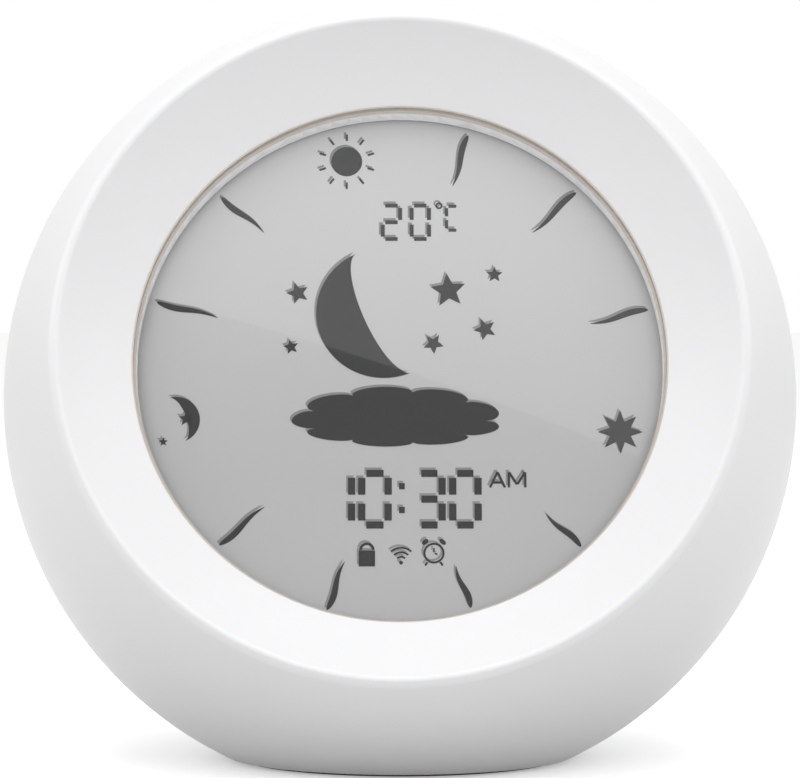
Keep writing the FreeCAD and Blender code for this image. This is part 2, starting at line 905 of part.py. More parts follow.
def ring_board():
    """The ring-shaped board of the night light."""
    top = ring_board_height + board_thickness
    board = ring(ring_board_inner, ring_board_outer, ring_board_height, top)
    for x, y in ring_places():
        hole = screw_shank_radius + screw_hole_clearance
        board = board.cut(peg(x, y, hole, ring_board_height - 1, top + 1))
    for x, y in tray_places():
        notch = tray_boss_radius + ring_board_notch_gap
        board = board.cut(peg(x, y, notch, ring_board_height - 1, top + 1))
    return board


def night_leds():
    """The lamps of the night light, evenly round their board."""
    middle = (ring_board_inner + ring_board_outer) / 2
    low = ring_board_height + board_thickness
    length, width, height = night_led_size
    lamps = []
    for index in range(night_led_count):
        turn = 360.0 * (index + 0.5) / night_led_count
        lamp = block(middle - width / 2, middle + width / 2, -length / 2, length / 2,
                     low, low + height)
        lamp.rotate(origin, along_z, turn)
        lamps.append(lamp)
    return Part.makeCompound(lamps)


def base_plate():
    """The round plate that closes the bottom, with the bay for the cells."""
    plate = disc(base_radius, flat_height, plate_top)
    outer_x = bay_half_length + bay_wall
    outer_y = bay_half_width + bay_wall
    ceiling = bay_ceiling()
    box = block(-outer_x, outer_x, -outer_y, outer_y, plate_top - 1, ceiling + bay_wall)
    plate = fuse([plate, box])
    room = block(
        -bay_half_length, bay_half_length, -bay_half_width, bay_half_width,
        flat_height - 1, ceiling,
    )
    plate = plate.cut(room)
    groove = ring(
        foot_inner_radius - foot_clearance, foot_outer_radius + foot_clearance,
        flat_height - 1, foot_thickness,
    )
    plate = plate.cut(groove)
    for side in (-1, 1):
        x = side * door_tab_x
        half = door_tab_width / 2 + door_clearance
        slot = block(x - half, x + half, 0, bay_half_width + bay_wall + 1,
                     plate_top, plate_top + door_tab_slot_height)
        plate = plate.cut(slot)
    for degrees in base_screw_angles:
        x, y = polar(base_screw_circle, degrees)
        hole = screw_shank_radius + screw_hole_clearance
        plate = plate.cut(peg(x, y, hole, 0, plate_top + 1))
        sink = screw_head_radius + foot_clearance
        plate = plate.cut(peg(x, y, sink, 0, base_screw_seat))
    return plate


def cell_axis_height():
    """Height of the axes of the cells."""
    return door_top() + bay_floor_gap + cell_radius


def door_top():
    """Height of the inner face of the door."""
    return flat_height + door_recess + door_thickness


def bay_ceiling():
    """Height of the inside of the top of the bay."""
    return cell_axis_height() + cell_radius + bay_headroom


def battery_door():
    """The door under the cells, with two hook tabs and a finger groove."""
    half_x = bay_half_length - door_clearance
    half_y = bay_half_width - door_clearance
    low = flat_height + door_recess
    pieces = [block(-half_x, half_x, -half_y, half_y, low, door_top())]
    tab_low = plate_top + door_tab_lift
    tab_high = tab_low + door_tab_thickness
    for side in (-1, 1):
        x = side * door_tab_x
        half = door_tab_width / 2
        inner = half_y - door_tab_thickness
        pieces.append(block(x - half, x + half, inner, half_y, low, tab_high))
        reach = bay_half_width + door_tab_reach
        pieces.append(block(x - half, x + half, inner, reach, tab_low, tab_high))
    door = fuse(pieces)
    notch_y = -half_y + 2 * door_notch_width
    notch = block(
        -door_notch_half_width, door_notch_half_width,
        notch_y - door_notch_width, notch_y, low - 1, low + door_notch_depth,
    )
    return door.cut(notch)


def backup_cells():
    """Two small cells side by side, head to tail."""
    cells = []
    height = cell_axis_height()
    for side in (-1, 1):
        y = side * (cell_radius + cell_gap / 2)
        start = -cell_length / 2
        body = Part.makeCylinder(cell_radius, cell_length, Vector(start, y, height), along_x)
        nub_start = cell_length / 2 if side > 0 else start - cell_nub_length
        nub = Part.makeCylinder(
            cell_nub_radius, cell_nub_length, Vector(nub_start, y, height), along_x,
        )
        cells.append(fuse([body, nub]))
    return Part.makeCompound(cells)


def cell_contacts():
    """The spring and flat contacts at both ends of the bay."""
    height = cell_axis_height()
    pieces = []
    for side in (-1, 1):
        edge = side * bay_half_length
        inner = edge - side * contact_thickness
        low_x = min(edge, inner)
        half = bay_half_width - contact_side_gap
        plate = block(low_x, low_x + contact_thickness, -half, half,
                      height - contact_half_height, height + contact_half_height)
        y = -side * (cell_radius + cell_gap / 2)
        gap = bay_half_length - contact_thickness - cell_length / 2
        start = inner if side < 0 else inner - gap
        coil = Part.makeCylinder(contact_spring_radius, gap, Vector(start, y, height), along_x)
        room = contact_spring_radius - 2 * contact_wire_radius
        hole = Part.makeCylinder(room, gap, Vector(start, y, height), along_x)
        pieces.append(fuse([plate, coil.cut(hole)]))
    return Part.makeCompound(pieces)


def base_screw_set():
    """The four screws under the foot ring."""
    screws = []
    for degrees in base_screw_angles:
        x, y = polar(base_screw_circle, degrees)
        top = floor_top + base_boss_height - base_screw_stop
        head = peg(x, y, screw_head_radius, foot_thickness, base_screw_seat)
        shank = peg(x, y, screw_shank_radius, foot_thickness, top)
        screws.append(fuse([head, shank]))
    return Part.makeCompound(screws)


def key_cap(x, z):
    """One round key on the back, hollow behind, with its flange and stem."""
    flange_low = key_seat_y - key_flange_thickness
    cap = rod(x, z, key_radius, flange_low, past_all).common(ball(ball_radius + key_proud))
    cap = round_rim(cap, along_y, key_edge_round)
    skirt = key_radius - key_skirt_wall
    room_top = key_seat_y + key_roof
    flange = rod(x, z, key_radius + key_flange_overhang, flange_low, key_seat_y)
    stem = rod(x, z, key_stem_radius, flange_low - key_stem_length, room_top)
    cap = fuse([cap, flange, stem])
    hollow = rod(x, z, skirt, flange_low - 1, flange_low + key_hollow_depth)
    hollow = hollow.cut(rod(x, z, key_stem_radius + key_hollow_gap, flange_low - 2, room_top))
    return cap.cut(hollow)


def round_rim(cap, out, rounding):
    """Rounds the rim at the outer end of a cap."""
    rims = [edge for edge in cap.Edges if edge.isClosed() and edge.Length > 2 * key_radius]
    rim = max(rims, key=lambda edge: edge.CenterOfMass.dot(out))
    return cap.makeFillet(rounding, [rim])


def key_plunger(x, z):
    """The moving pin of one push switch on the back."""
    top = key_seat_y - key_flange_thickness - key_stem_length
    return rod(x, z, plunger_radius, top - plunger_length, top)


def switch_bodies():
    """The fixed bodies of the four push switches on the back."""
    low = switch_base_y()
    high = low + switch_height
    half = switch_size / 2
    bodies = []
    for name, x, z in key_centres():
        body = block(x - half, x + half, low, high, z - half, z + half)
        pin_end = high + plunger_out - plunger_length
        bore_end = pin_end - key_travel - switch_floor_gap
        bore = rod(x, z, plunger_radius + plunger_clearance, bore_end, high + 1)
        bodies.append(body.cut(bore))
    return Part.makeCompound(bodies)


def key_board():
    """The board behind the keys on the back."""
    high = switch_base_y()
    low = high - board_thickness
    middle = centre_height + key_rise
    half = key_board_half_height
    board = block(
        -key_board_half_length, key_board_half_length, low, high, middle - half, middle + half,
    )
    for x, z in key_posts():
        board = board.cut(rod(x, z, screw_shank_radius + screw_hole_clearance, 0, past_all))
    return board


def top_key():
    """The large key on top, in its own frame, with its flange and stem."""
    flange_low = top_key_seat - key_flange_thickness
    cap = disc(top_key_radius, flange_low, past_all)
    cap = cap.common(Part.makeSphere(ball_radius + top_key_proud))
    cap = round_rim(cap, along_z, key_edge_round)
    flange = disc(top_key_radius + top_key_flange_overhang, flange_low, top_key_seat)
    cap = fuse([cap, flange])
    room_top = inner_radius - top_key_roof
    cap = cap.cut(disc(top_key_radius - key_skirt_wall, flange_low - 1, room_top))
    stem = disc(key_stem_radius, flange_low - top_key_stem_length, inner_radius)
    return fuse([cap, stem])


def top_plunger():
    """The moving pin of the top key's push switch."""
    top = top_key_seat - key_flange_thickness - top_key_stem_length
    return disc(plunger_radius, top - plunger_length, top)


def top_switch():
    """The fixed body of the top key's push switch."""
    low = top_switch_base()
    high = low + switch_height
    half = switch_size / 2
    bore_end = high + plunger_out - plunger_length - key_travel - switch_floor_gap
    bore = disc(plunger_radius + plunger_clearance, bore_end, high + 1)
    return block(-half, half, -half, half, low, high).cut(bore)


def top_key_board():
    """The small board under the top key."""
    high = top_switch_base()
    board = block(
        -top_board_half_length, top_board_half_length,
        -top_board_half_width, top_board_half_width, high - board_thickness, high,
    )
    for side in (-1, 1):
        hole = screw_shank_radius + screw_hole_clearance
        board = board.cut(peg(side * top_post_x, 0, hole, 0, past_all))
    return board


def turned_on_speaker(edges):
    """A solid turned about the loudspeaker's axis from an outline in XY."""
    wire = Part.Wire(Part.__sortEdges__(edges))
    body = Part.Face(wire).revolve(origin, along_y, 360)
    body.translate(Vector(0, 0, speaker_z()))
    return body


def closed_lines(points):
    """Straight edges through points and back to the first."""
    pairs = zip(points, points[1:] + points[:1])
    return [line(start, end) for start, end in pairs]


def speaker_basket():
    """The metal frame of the loudspeaker: a rim and a tapering pot."""
    rim_back = speaker_seat_y - speaker_gasket
    rim_front = rim_back - speaker_rim
    low = rim_front - basket_depth
    rim_inner = speaker_radius - speaker_seat_width
    points = [
        Vector(rim_inner, rim_back, 0),
        Vector(speaker_radius, rim_back, 0),
        Vector(speaker_radius, rim_front, 0),
        Vector(rim_inner + basket_wall, rim_front, 0),
        Vector(basket_back_radius + basket_wall, low, 0),
        Vector(cone_centre_radius, low, 0),
        Vector(cone_centre_radius, low + basket_wall, 0),
        Vector(basket_back_radius, low + basket_wall, 0),
        Vector(rim_inner, rim_front, 0),
    ]
    return turned_on_speaker(closed_lines(points))


def speaker_cone():
    """The paper cone of the loudspeaker with its dust cap."""
    edge_y = speaker_seat_y - speaker_gasket
    rim = speaker_radius - speaker_seat_width
    low = edge_y - cone_depth
    points = [
        Vector(0, low, 0),
        Vector(cone_centre_radius, low, 0),
        Vector(rim, edge_y - cone_thickness, 0),
        Vector(rim, edge_y, 0),
        Vector(cone_centre_radius, low + cone_thickness, 0),
        Vector(0, low + cone_thickness * 3, 0),
    ]
    return turned_on_speaker(closed_lines(points))


def speaker_magnet():
    """The magnet and pole piece behind the basket."""
    low = speaker_seat_y - speaker_gasket - speaker_rim - basket_depth
    magnet = rod(0, speaker_z(), magnet_radius, low - magnet_depth, low)
    coil_top = speaker_seat_y - speaker_gasket - cone_depth
    coil = rod(0, speaker_z(), cone_centre_radius - coil_gap, low - 1, coil_top)
    return fuse([magnet, coil])


def speaker_clamp():
    """The ring that clamps the loudspeaker to its seat."""
    high = clamp_y()
    low = high - clamp_thickness
    outer = clamp_circle - clamp_post_radius + clamp_post_overlap
    inner = speaker_radius - speaker_seat_width + basket_wall + clamp_gap
    body = rod(0, speaker_z(), outer, low, high)
    pieces = [body]
    for x, z in clamp_places():
        pieces.append(rod(x, z, clamp_post_radius + clamp_lug_wall, low, high))
    clamp = fuse(pieces)
    clamp = clamp.cut(rod(0, speaker_z(), inner, low - 1, high + 1))
    for x, z in clamp_places():
        clamp = clamp.cut(rod(x, z, screw_shank_radius + screw_hole_clearance, 0, past_all))
    return clamp


def usb_socket():
    """The metal shell of the power socket with its contact tongue."""
    z = inlet_z()
    low = inlet_face_y - socket_length
    outer = rounded_block(
        socket_width / 2, socket_height / 2, socket_corner, 0, z, low, inlet_face_y,
    )
    inner = rounded_block(
        socket_width / 2 - socket_wall, socket_height / 2 - socket_wall,
        socket_corner - socket_wall, 0, z, low + 1, inlet_face_y + 1,
    )
    half = tongue_plate_width / 2
    thick = tongue_plate_thickness / 2
    tongue_end = inlet_face_y - tongue_plate_setback
    tongue = block(-half, half, low, tongue_end, z - thick, z + thick)
    return fuse([outer.cut(inner), tongue])


def usb_board():
    """The small board under the power socket."""
    high = inlet_face_y - inlet_pad_depth
    top = inlet_shelf_top()
    return block(
        -inlet_board_half_width, inlet_board_half_width,
        high - inlet_board_length, high, top, top + board_thickness,
    )


def temperature_sensor():
    """The bead of the thermometer, standing on the inlet's board."""
    top = inlet_shelf_top() + board_thickness
    y = inlet_face_y - inlet_pad_depth - inlet_board_length + sensor_from_end
    x = inlet_board_half_width - sensor_from_side
    leg = peg(x, y, sensor_leg_radius, top, top + sensor_leg_height)
    bead = Part.makeSphere(sensor_radius, Vector(x, y, top + sensor_leg_height))
    return fuse([leg, bead])


def build():
    """Every piece by its name."""
    pieces = {
        "front_shell": front_shell(),
        "rear_shell": rear_shell(),
    }
    face_pieces = {
        "window_gasket": window_gasket(),
        "display_window": disc(
            window_radius, window_top - window_thickness, window_top,
        ),
        "display_foam_ring": ring(
            collar_inner_radius + foam_fit, collar_inner_radius + foam_width, glass_top, foam_top,
        ),
        "lcd_front_glass": cut_flat(disc(glass_radius, crystal_top, glass_top), glass_front_flat),
        "lcd_crystal_layer": cut_flat(
            disc(crystal_radius, rear_glass_top, crystal_top), glass_front_flat,
        ),
        "lcd_rear_glass": cut_flat(
            disc(glass_radius, diffuser_top, rear_glass_top), glass_rear_flat,
        ),
        "backlight_diffuser": cut_flat(disc(guide_radius, guide_top, diffuser_top), guide_flat),
        "backlight_guide": cut_flat(disc(guide_radius, reflector_top, guide_top), guide_flat),
        "backlight_reflector": cut_flat(
            disc(guide_radius, tray_floor_top, reflector_top), guide_flat,
        ),
        "backlight_led_strip": backlight_strip(),
        "display_tray": display_tray(),
        "display_tray_screws": Part.makeCompound(
            [screw(x, y, tray_bottom, tray_screw_reach) for x, y in tray_places()],
        ),
        "main_board": main_board(),
        "main_board_screws": Part.makeCompound(
            [screw(x, y, main_board_bottom, main_screw_reach) for x, y in main_posts()],
        ),
        "processor_chip": on_main_board(processor_size, processor_place),
        "wireless_module": radio_module(),
        "board_capacitors": Part.makeCompound([
            peg(x, y, capacitor_radius, main_board_bottom - capacitor_height, main_board_bottom)
            for x, y in capacitor_places
        ]),
        "board_connectors": Part.makeCompound(
            [on_main_board(connector_size, place) for place in connector_places],
        ),
        "night_light_board": ring_board(),
        "night_light_leds": night_leds(),
        "night_light_screws": Part.makeCompound(
            [screw(x, y, ring_board_height, ring_screw_reach) for x, y in ring_places()],
        ),
    }
    for name, shape in face_pieces.items():
        pieces[name] = from_face(shape)
    pieces["shell_screws"] = Part.makeCompound([
        screw_along_y(x, z, shell_screw_floor, shell_screw_reach + shell_screw_floor, 1)
        for x, z in shell_screw_places()
    ])
    pieces["base_plate"] = base_plate()
    pieces["non_slip_ring"] = ring(foot_inner_radius, foot_outer_radius, 0, foot_thickness)
    pieces["base_screws"] = base_screw_set()
    pieces["battery_door"] = battery_door()
    pieces["backup_cells"] = backup_cells()
    pieces["cell_contacts"] = cell_contacts()
    for name, x, z in key_centres():
        pieces[name] = key_cap(x, z)
        pieces[name + "_plunger"] = key_plunger(x, z)
    pieces["key_switches"] = switch_bodies()
    pieces["key_board"] = key_board()
    key_board_face = switch_base_y() - board_thickness
    pieces["key_board_screws"] = Part.makeCompound([
        screw_along_y(x, z, key_board_face, key_screw_reach, -1) for x, z in key_posts()
    ])
    top_pieces = {
        "night_light_key": top_key(),
        "night_light_key_plunger": top_plunger(),
        "night_light_key_switch": top_switch(),
        "night_light_key_board": top_key_board(),
        "night_light_key_screws": Part.makeCompound([
            screw(side * top_post_x, 0, top_switch_base() - board_thickness, key_screw_reach)
            for side in (-1, 1)
        ]),
    }
    for name, shape in top_pieces.items():
        pieces[name] = from_top_key(shape)
    gasket = rod(0, speaker_z(), speaker_radius, speaker_seat_y - speaker_gasket, speaker_seat_y)
    hole = rod(0, speaker_z(), speaker_radius - speaker_seat_width, 0, past_all)
    pieces["speaker_gasket"] = gasket.cut(hole)
    pieces["speaker_basket"] = speaker_basket()
    pieces["speaker_cone"] = speaker_cone()
    pieces["speaker_magnet"] = speaker_magnet()
    pieces["speaker_clamp"] = speaker_clamp()
    pieces["speaker_screws"] = Part.makeCompound([
        screw_along_y(x, z, clamp_y() - clamp_thickness, speaker_screw_reach, -1)
        for x, z in clamp_places()
    ])
    pieces["usb_socket"] = usb_socket()
    pieces["usb_board"] = usb_board()
    pieces["temperature_sensor"] = temperature_sensor()
    return pieces


def main():
    """Writes one file for each piece and says how each came out."""
    os.makedirs("parts", exist_ok=True)
    for name, shape in build().items():
        shape.exportStep("parts/" + name + ".step")
        box = shape.BoundBox
        print(
            name, "solids", len(shape.Solids), "valid", shape.isValid(),
            "volume %.1f" % shape.Volume,
            "box %.2f %.2f %.2f to %.2f %.2f %.2f" % (
                box.XMin, box.YMin, box.ZMin, box.XMax, box.YMax, box.ZMax,
            ),
        )


if __name__ == "__main__":
    main()
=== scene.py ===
import json
import math

import bmesh
import bpy
from bpy.props import FloatProperty, FloatVectorProperty, PointerProperty
from mathutils import Matrix, Quaternion, Vector


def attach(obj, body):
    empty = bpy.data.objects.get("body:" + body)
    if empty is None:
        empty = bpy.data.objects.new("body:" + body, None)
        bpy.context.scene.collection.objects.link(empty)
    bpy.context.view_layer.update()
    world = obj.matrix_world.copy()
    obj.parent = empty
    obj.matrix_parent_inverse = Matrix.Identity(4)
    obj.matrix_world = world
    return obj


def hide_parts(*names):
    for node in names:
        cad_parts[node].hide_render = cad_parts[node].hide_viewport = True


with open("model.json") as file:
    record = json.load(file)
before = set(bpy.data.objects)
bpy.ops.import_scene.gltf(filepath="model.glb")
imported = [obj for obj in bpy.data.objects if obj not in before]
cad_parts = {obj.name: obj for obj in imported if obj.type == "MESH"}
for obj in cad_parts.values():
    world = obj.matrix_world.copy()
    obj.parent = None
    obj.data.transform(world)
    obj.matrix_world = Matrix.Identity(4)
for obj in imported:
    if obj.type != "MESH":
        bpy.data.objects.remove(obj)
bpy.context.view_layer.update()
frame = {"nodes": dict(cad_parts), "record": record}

bl_info = {
    "name": "Round Bedside Clock",
    "version": (1, 0, 0),
    "blender": (4, 5, 0),
    "location": "View3D > Sidebar > Clock",
    "description": "Builds a ball-shaped bedside clock with a round display and a night light",
    "category": "Add Mesh",
}

mm = 0.001
nodes = frame["nodes"]
bodies = frame["record"]["behaviour"]["bodies"]
body_of_node = {name: body for body, names in bodies.items() for name in names}

# The display's own frame: +Z out through the window, +Y up along it
face_tilt = math.radians(17.0)
centre_height = 67.9 * mm
centre = Vector((0.0, 0.0, centre_height))
face_frame = Matrix.Translation(centre) @ Matrix.Rotation(math.radians(90.0) - face_tilt, 4, "X")

# Heights of the layers behind the window, along the display's axis
glass_back = 20.7 * mm
glass_front = 21.8 * mm
window_back = 26.3 * mm
window_front = 28.3 * mm
ink_height = glass_back + 0.05 * mm
shade_height = glass_back + 0.02 * mm
glass_lift = 0.09 * mm

# The display's glass: a disc cut straight above and below
glass_radius = 52.0 * mm
glass_half_height = 49.6 * mm
glass_edge = 0.1 * mm

# Sizes of the case, measured from the middle of the ball along the display's
# axis and from that axis outwards
ball_radius = 75.0 * mm
wall = 2.2 * mm
opening_radius = 49.2 * mm
opening_height = 28.5 * mm
crease_radius = 61.9 * mm
crease_height = 41.0 * mm
dish_sag = 0.5 * mm
lip_radius = 4.0 * mm

# Arcs that are turned about the display's axis: how far the middle of the
# arc lies from the axis, the height of that middle, and the radius
ball_arc = (0.0, 0.0, ball_radius)
inner_ball_arc = (0.0, 0.0, ball_radius - wall)

# How near a corner lies to an arc to count as on it, and how well a face has
# to agree with the arc's own direction
arc_tolerance = 0.03 * mm
arc_agreement = 0.97

# Colours of the small pieces that can be seen from outside
gasket_colour = (0.66, 0.60, 0.54)
foam_colour = (0.05, 0.05, 0.05)
foot_colour = (0.075, 0.075, 0.08)
clear_tint = (0.985, 0.985, 0.985)
rear_glass_tint = (0.97, 0.98, 0.97)

# Painted light on the display's ground, which makes it lighter above: where the
# painted change starts and ends, measured from the middle of the ball, and how bright it is there
painted_light_start = -20.0 * mm
painted_light_end = 66.0 * mm
painted_light_low_level = 0.98
painted_light_high_level = 1.36

# The floor: half its width, how far it lies under the foot, how much light
# it throws back, and the glow that makes it white to the camera
floor_half_width = 6.0
floor_drop = 0.05 * mm
floor_bounce = 0.57
floor_glow = 0.35

# Lamps: the place of each in metres, and its width and height
lamp_places = {
    "Top light": ((0.0, -0.1, 1.2), (1.2, 0.9)),
    "Left light": ((-1.25, 0.0, 0.75), (0.7, 0.7)),
    "Right light": ((1.25, 0.0, 0.75), (0.7, 0.7)),
    "Front light": ((0.0, -1.7, 0.12), (1.5, 0.5)),
    "Window light": ((0.02, -1.13, 1.15), (1.3, 0.64)),
}
window_lamp_roll = math.radians(-20.0)

# The camera looks a little above the middle of the ball
camera_aim_rise = 2.15 * mm


class ClockCaseSettings(bpy.types.PropertyGroup):
    """Colours and edges of the case, the keys and the base."""

    case_colour: FloatVectorProperty(
        name="Case colour",
        description="Colour of the two halves of the ball",
        default=(0.86, 0.86, 0.87),
        size=3,
        min=0.0,
        max=1.0,
        subtype="COLOR",
    )
    key_colour: FloatVectorProperty(
        name="Key colour",
        description="Colour of the keys on the back and on top",
        default=(0.80, 0.80, 0.82),
        size=3,
        min=0.0,
        max=1.0,
        subtype="COLOR",
    )
    base_colour: FloatVectorProperty(
        name="Base colour",
        description="Colour of the base plate and the battery door",
        default=(0.76, 0.76, 0.77),
        size=3,
        min=0.0,
        max=1.0,
        subtype="COLOR",
    )
    sharp_angle: FloatProperty(
        name="Sharp angle",
        description="Edges that turn by more than this stay sharp",
        default=math.radians(32.0),
        subtype="ANGLE",
    )


class ClockDisplaySettings(bpy.types.PropertyGroup):
    """Sizes and colours of the display."""

    window_radius: FloatProperty(
        name="Window radius",
        description="Radius of the clear window",
        default=48.9 * mm,
        unit="LENGTH",
        subtype="DISTANCE",
    )
    window_edge: FloatProperty(
        name="Window edge",
        description="Width of the polished bevel round the window",
        default=0.3 * mm,
        unit="LENGTH",
        subtype="DISTANCE",
    )
    ground_colour: FloatVectorProperty(
        name="Ground colour",
        description="Colour of the display behind its symbols",
        default=(0.70, 0.70, 0.705),
        size=3,
        min=0.0,
        max=1.0,
        subtype="COLOR",
    )
    ink_colour: FloatVectorProperty(
        name="Symbol colour",
        description="Colour of the symbols that are switched on",
        default=(0.03, 0.03, 0.032),
        size=3,
        min=0.0,
        max=1.0,
        subtype="COLOR",
    )
    shade_shift: FloatVectorProperty(
        name="Shade shift",
        description="How far the soft shade of the symbols lies from them, across and up",
        default=(-0.35 * mm, 0.45 * mm),
        size=2,
        unit="LENGTH",
    )


class ClockStageSettings(bpy.types.PropertyGroup):
    """Camera, lamps and floor."""

    camera_distance: FloatProperty(
        name="Camera distance",
        description="From the middle of the ball to the camera",
        default=0.75,
        unit="LENGTH",
        subtype="DISTANCE",
    )
    camera_elevation: FloatProperty(
        name="Camera elevation",
        description="How far the camera looks down on the ball",
        default=math.radians(1.75),
        subtype="ANGLE",
    )
    camera_lens: FloatProperty(
        name="Camera lens",
        description="Focal length in millimetres on a sensor 36 mm wide",
        default=177.5,
        min=10.0,
    )
    fill_strength: FloatProperty(
        name="Fill strength",
        description="Light that reaches the clock from all around",
        default=0.60,
        min=0.0,
    )
    top_power: FloatProperty(
        name="Top light power",
        description="Power of the large soft lamp above the clock, in watts",
        default=4.5,
        min=0.0,
    )
    side_power: FloatProperty(
        name="Side light power",
        description="Power of each soft lamp high at the sides, in watts",
        default=3.1,
        min=0.0,
    )
    front_power: FloatProperty(
        name="Front light power",
        description="Power of the wide soft lamp in front of the clock, in watts",
        default=7.2,
        min=0.0,
    )
    window_power: FloatProperty(
        name="Window light power",
        description="Power of the lamp that the upper half of the window mirrors, in watts",
        default=3.1,
        min=0.0,
    )


def group_socket(group, name, kind, output=False, default=None):
    """Adds one named input or output to a node group."""
    made = group.interface.new_socket(
        name=name, in_out="OUTPUT" if output else "INPUT", socket_type=kind
    )
    if default is not None:
        made.default_value = default


def math_node(tree, operation, *inputs):
    """Adds a sum whose inputs are numbers or sockets, and gives its output."""
    node = tree.nodes.new("ShaderNodeMath")
    node.operation = operation
    for socket, value in zip(node.inputs, inputs):
        if isinstance(value, float):
            socket.default_value = value
        else:
            tree.links.new(value, socket)
    return node.outputs[0]


def moulded_grain_group():
    """A node group for moulded surfaces: slow shifts of colour, a fine grain and its height."""
    found = bpy.data.node_groups.get("Moulded grain")
    if found:
        return found
    group = bpy.data.node_groups.new("Moulded grain", "ShaderNodeTree")
    group_socket(group, "Vector", "NodeSocketVector")
    group_socket(group, "Colour", "NodeSocketColor", default=(0.8, 0.8, 0.8, 1.0))
    group_socket(group, "Colour Shift", "NodeSocketFloat", default=0.03)
    group_socket(group, "Shift Scale", "NodeSocketFloat", default=18.0)
    group_socket(group, "Roughness", "NodeSocketFloat", default=0.5)
    group_socket(group, "Roughness Shift", "NodeSocketFloat", default=0.06)
    group_socket(group, "Grain Scale", "NodeSocketFloat", default=2500.0)
    group_socket(group, "Colour", "NodeSocketColor", output=True)
    group_socket(group, "Roughness", "NodeSocketFloat", output=True)
    group_socket(group, "Height", "NodeSocketFloat", output=True)
    add = group.nodes.new
    link = group.links.new
    ends = add("NodeGroupInput")
    out = add("NodeGroupOutput")
    slow = add("ShaderNodeTexNoise")
    slow.inputs["Detail"].default_value = 3.0
    link(ends.outputs["Vector"], slow.inputs["Vector"])
    link(ends.outputs["Shift Scale"], slow.inputs["Scale"])
    fine = add("ShaderNodeTexNoise")
    fine.inputs["Detail"].default_value = 4.0
    fine.inputs["Roughness"].default_value = 0.6
    link(ends.outputs["Vector"], fine.inputs["Vector"])
    link(ends.outputs["Grain Scale"], fine.inputs["Scale"])
    centred = math_node(group, "SUBTRACT", slow.outputs["Fac"], 0.5)
    amount = math_node(group, "MULTIPLY", centred, ends.outputs["Colour Shift"])
    scale = math_node(group, "ADD", amount, 1.0)
    tinted = add("ShaderNodeVectorMath")
    tinted.operation = "SCALE"
    link(ends.outputs["Colour"], tinted.inputs[0])
    link(scale, tinted.inputs["Scale"])
    link(tinted.outputs[0], out.inputs["Colour"])
    both = math_node(group, "ADD", slow.outputs["Fac"], fine.outputs["Fac"])
    rough_centred = math_node(group, "SUBTRACT", both, 1.0)
    rough = math_node(
        group, "MULTIPLY_ADD", rough_centred, ends.outputs["Roughness Shift"], ends.outputs["Roughness"]
    )
    link(rough, out.inputs["Roughness"])
    link(fine.outputs["Fac"], out.inputs["Height"])
    return group


def fine_marks_group():
    """A node group for handling: short faint scuffs as a mask from 0 to 1."""
    found = bpy.data.node_groups.get("Fine marks")
    if found:
        return found
    group = bpy.data.node_groups.new("Fine marks", "ShaderNodeTree")
    group_socket(group, "Vector", "NodeSocketVector")
    group_socket(group, "Scale", "NodeSocketFloat", default=60.0)
    group_socket(group, "Amount", "NodeSocketFloat", default=0.3)
    group_socket(group, "Mask", "NodeSocketFloat", output=True)
    add = group.nodes.new
    link = group.links.new
    ends = add("NodeGroupInput")
    out = add("NodeGroupOutput")
    long = add("ShaderNodeMapping")
    long.inputs["Scale"].default_value = (1.0, 6.0, 2.0)
    long.inputs["Rotation"].default_value = (0.4, 0.3, 0.7)
    link(ends.outputs["Vector"], long.inputs["Vector"])
    streak = add("ShaderNodeTexNoise")
    streak.inputs["Detail"].default_value = 2.0
    link(long.outputs["Vector"], streak.inputs["Vector"])
    link(ends.outputs["Scale"], streak.inputs["Scale"])
    few = add("ShaderNodeMapRange")
    few.inputs["From Min"].default_value = 0.62
    few.inputs["From Max"].default_value = 0.75
    link(streak.outputs["Fac"], few.inputs["Value"])
    level = math_node(group, "MULTIPLY", few.outputs["Result"], ends.outputs["Amount"])
    link(level, out.inputs["Mask"])
    return group


def make_finish(name, colour, roughness, shift=0.03, shift_scale=18.0, rough_shift=0.06,
                grain=2500.0, bump=0.02, marks=0.0, metallic=0.0, specular=0.5, coat=0.0):
    """A material whose colour, roughness and surface change as a moulded or rolled one does."""
    found = bpy.data.materials.get(name)
    if found:
        return found
    material = bpy.data.materials.new(name)
    material.use_nodes = True
    tree = material.node_tree
    add = tree.nodes.new
    link = tree.links.new
    shader = tree.nodes["Principled BSDF"]
    place = add("ShaderNodeTexCoord")
    grain_node = add("ShaderNodeGroup")
    grain_node.node_tree = moulded_grain_group()
    grain_node.inputs["Colour"].default_value = (*colour, 1.0)
    grain_node.inputs["Colour Shift"].default_value = shift
    grain_node.inputs["Shift Scale"].default_value = shift_scale
    grain_node.inputs["Roughness"].default_value = roughness
    grain_node.inputs["Roughness Shift"].default_value = rough_shift
    grain_node.inputs["Grain Scale"].default_value = grain
    link(place.outputs["Object"], grain_node.inputs["Vector"])
    link(grain_node.outputs["Colour"], shader.inputs["Base Color"])
    rough_from = grain_node.outputs["Roughness"]
    if marks > 0.0:
        mark_node = add("ShaderNodeGroup")
        mark_node.node_tree = fine_marks_group()
        mark_node.inputs["Amount"].default_value = marks
        link(place.outputs["Object"], mark_node.inputs["Vector"])
        rough_from = math_node(tree, "SUBTRACT", rough_from, mark_node.outputs["Mask"])
        rough_from.node.use_clamp = True
    link(rough_from, shader.inputs["Roughness"])
    relief = add("ShaderNodeBump")
    relief.inputs["Strength"].default_value = bump
    relief.inputs["Distance"].default_value = 0.1 * mm
    link(grain_node.outputs["Height"], relief.inputs["Height"])
    link(relief.outputs["Normal"], shader.inputs["Normal"])
    shader.inputs["Metallic"].default_value = metallic
    shader.inputs["Specular IOR Level"].default_value = specular
    shader.inputs["Coat Weight"].default_value = coat
    return material


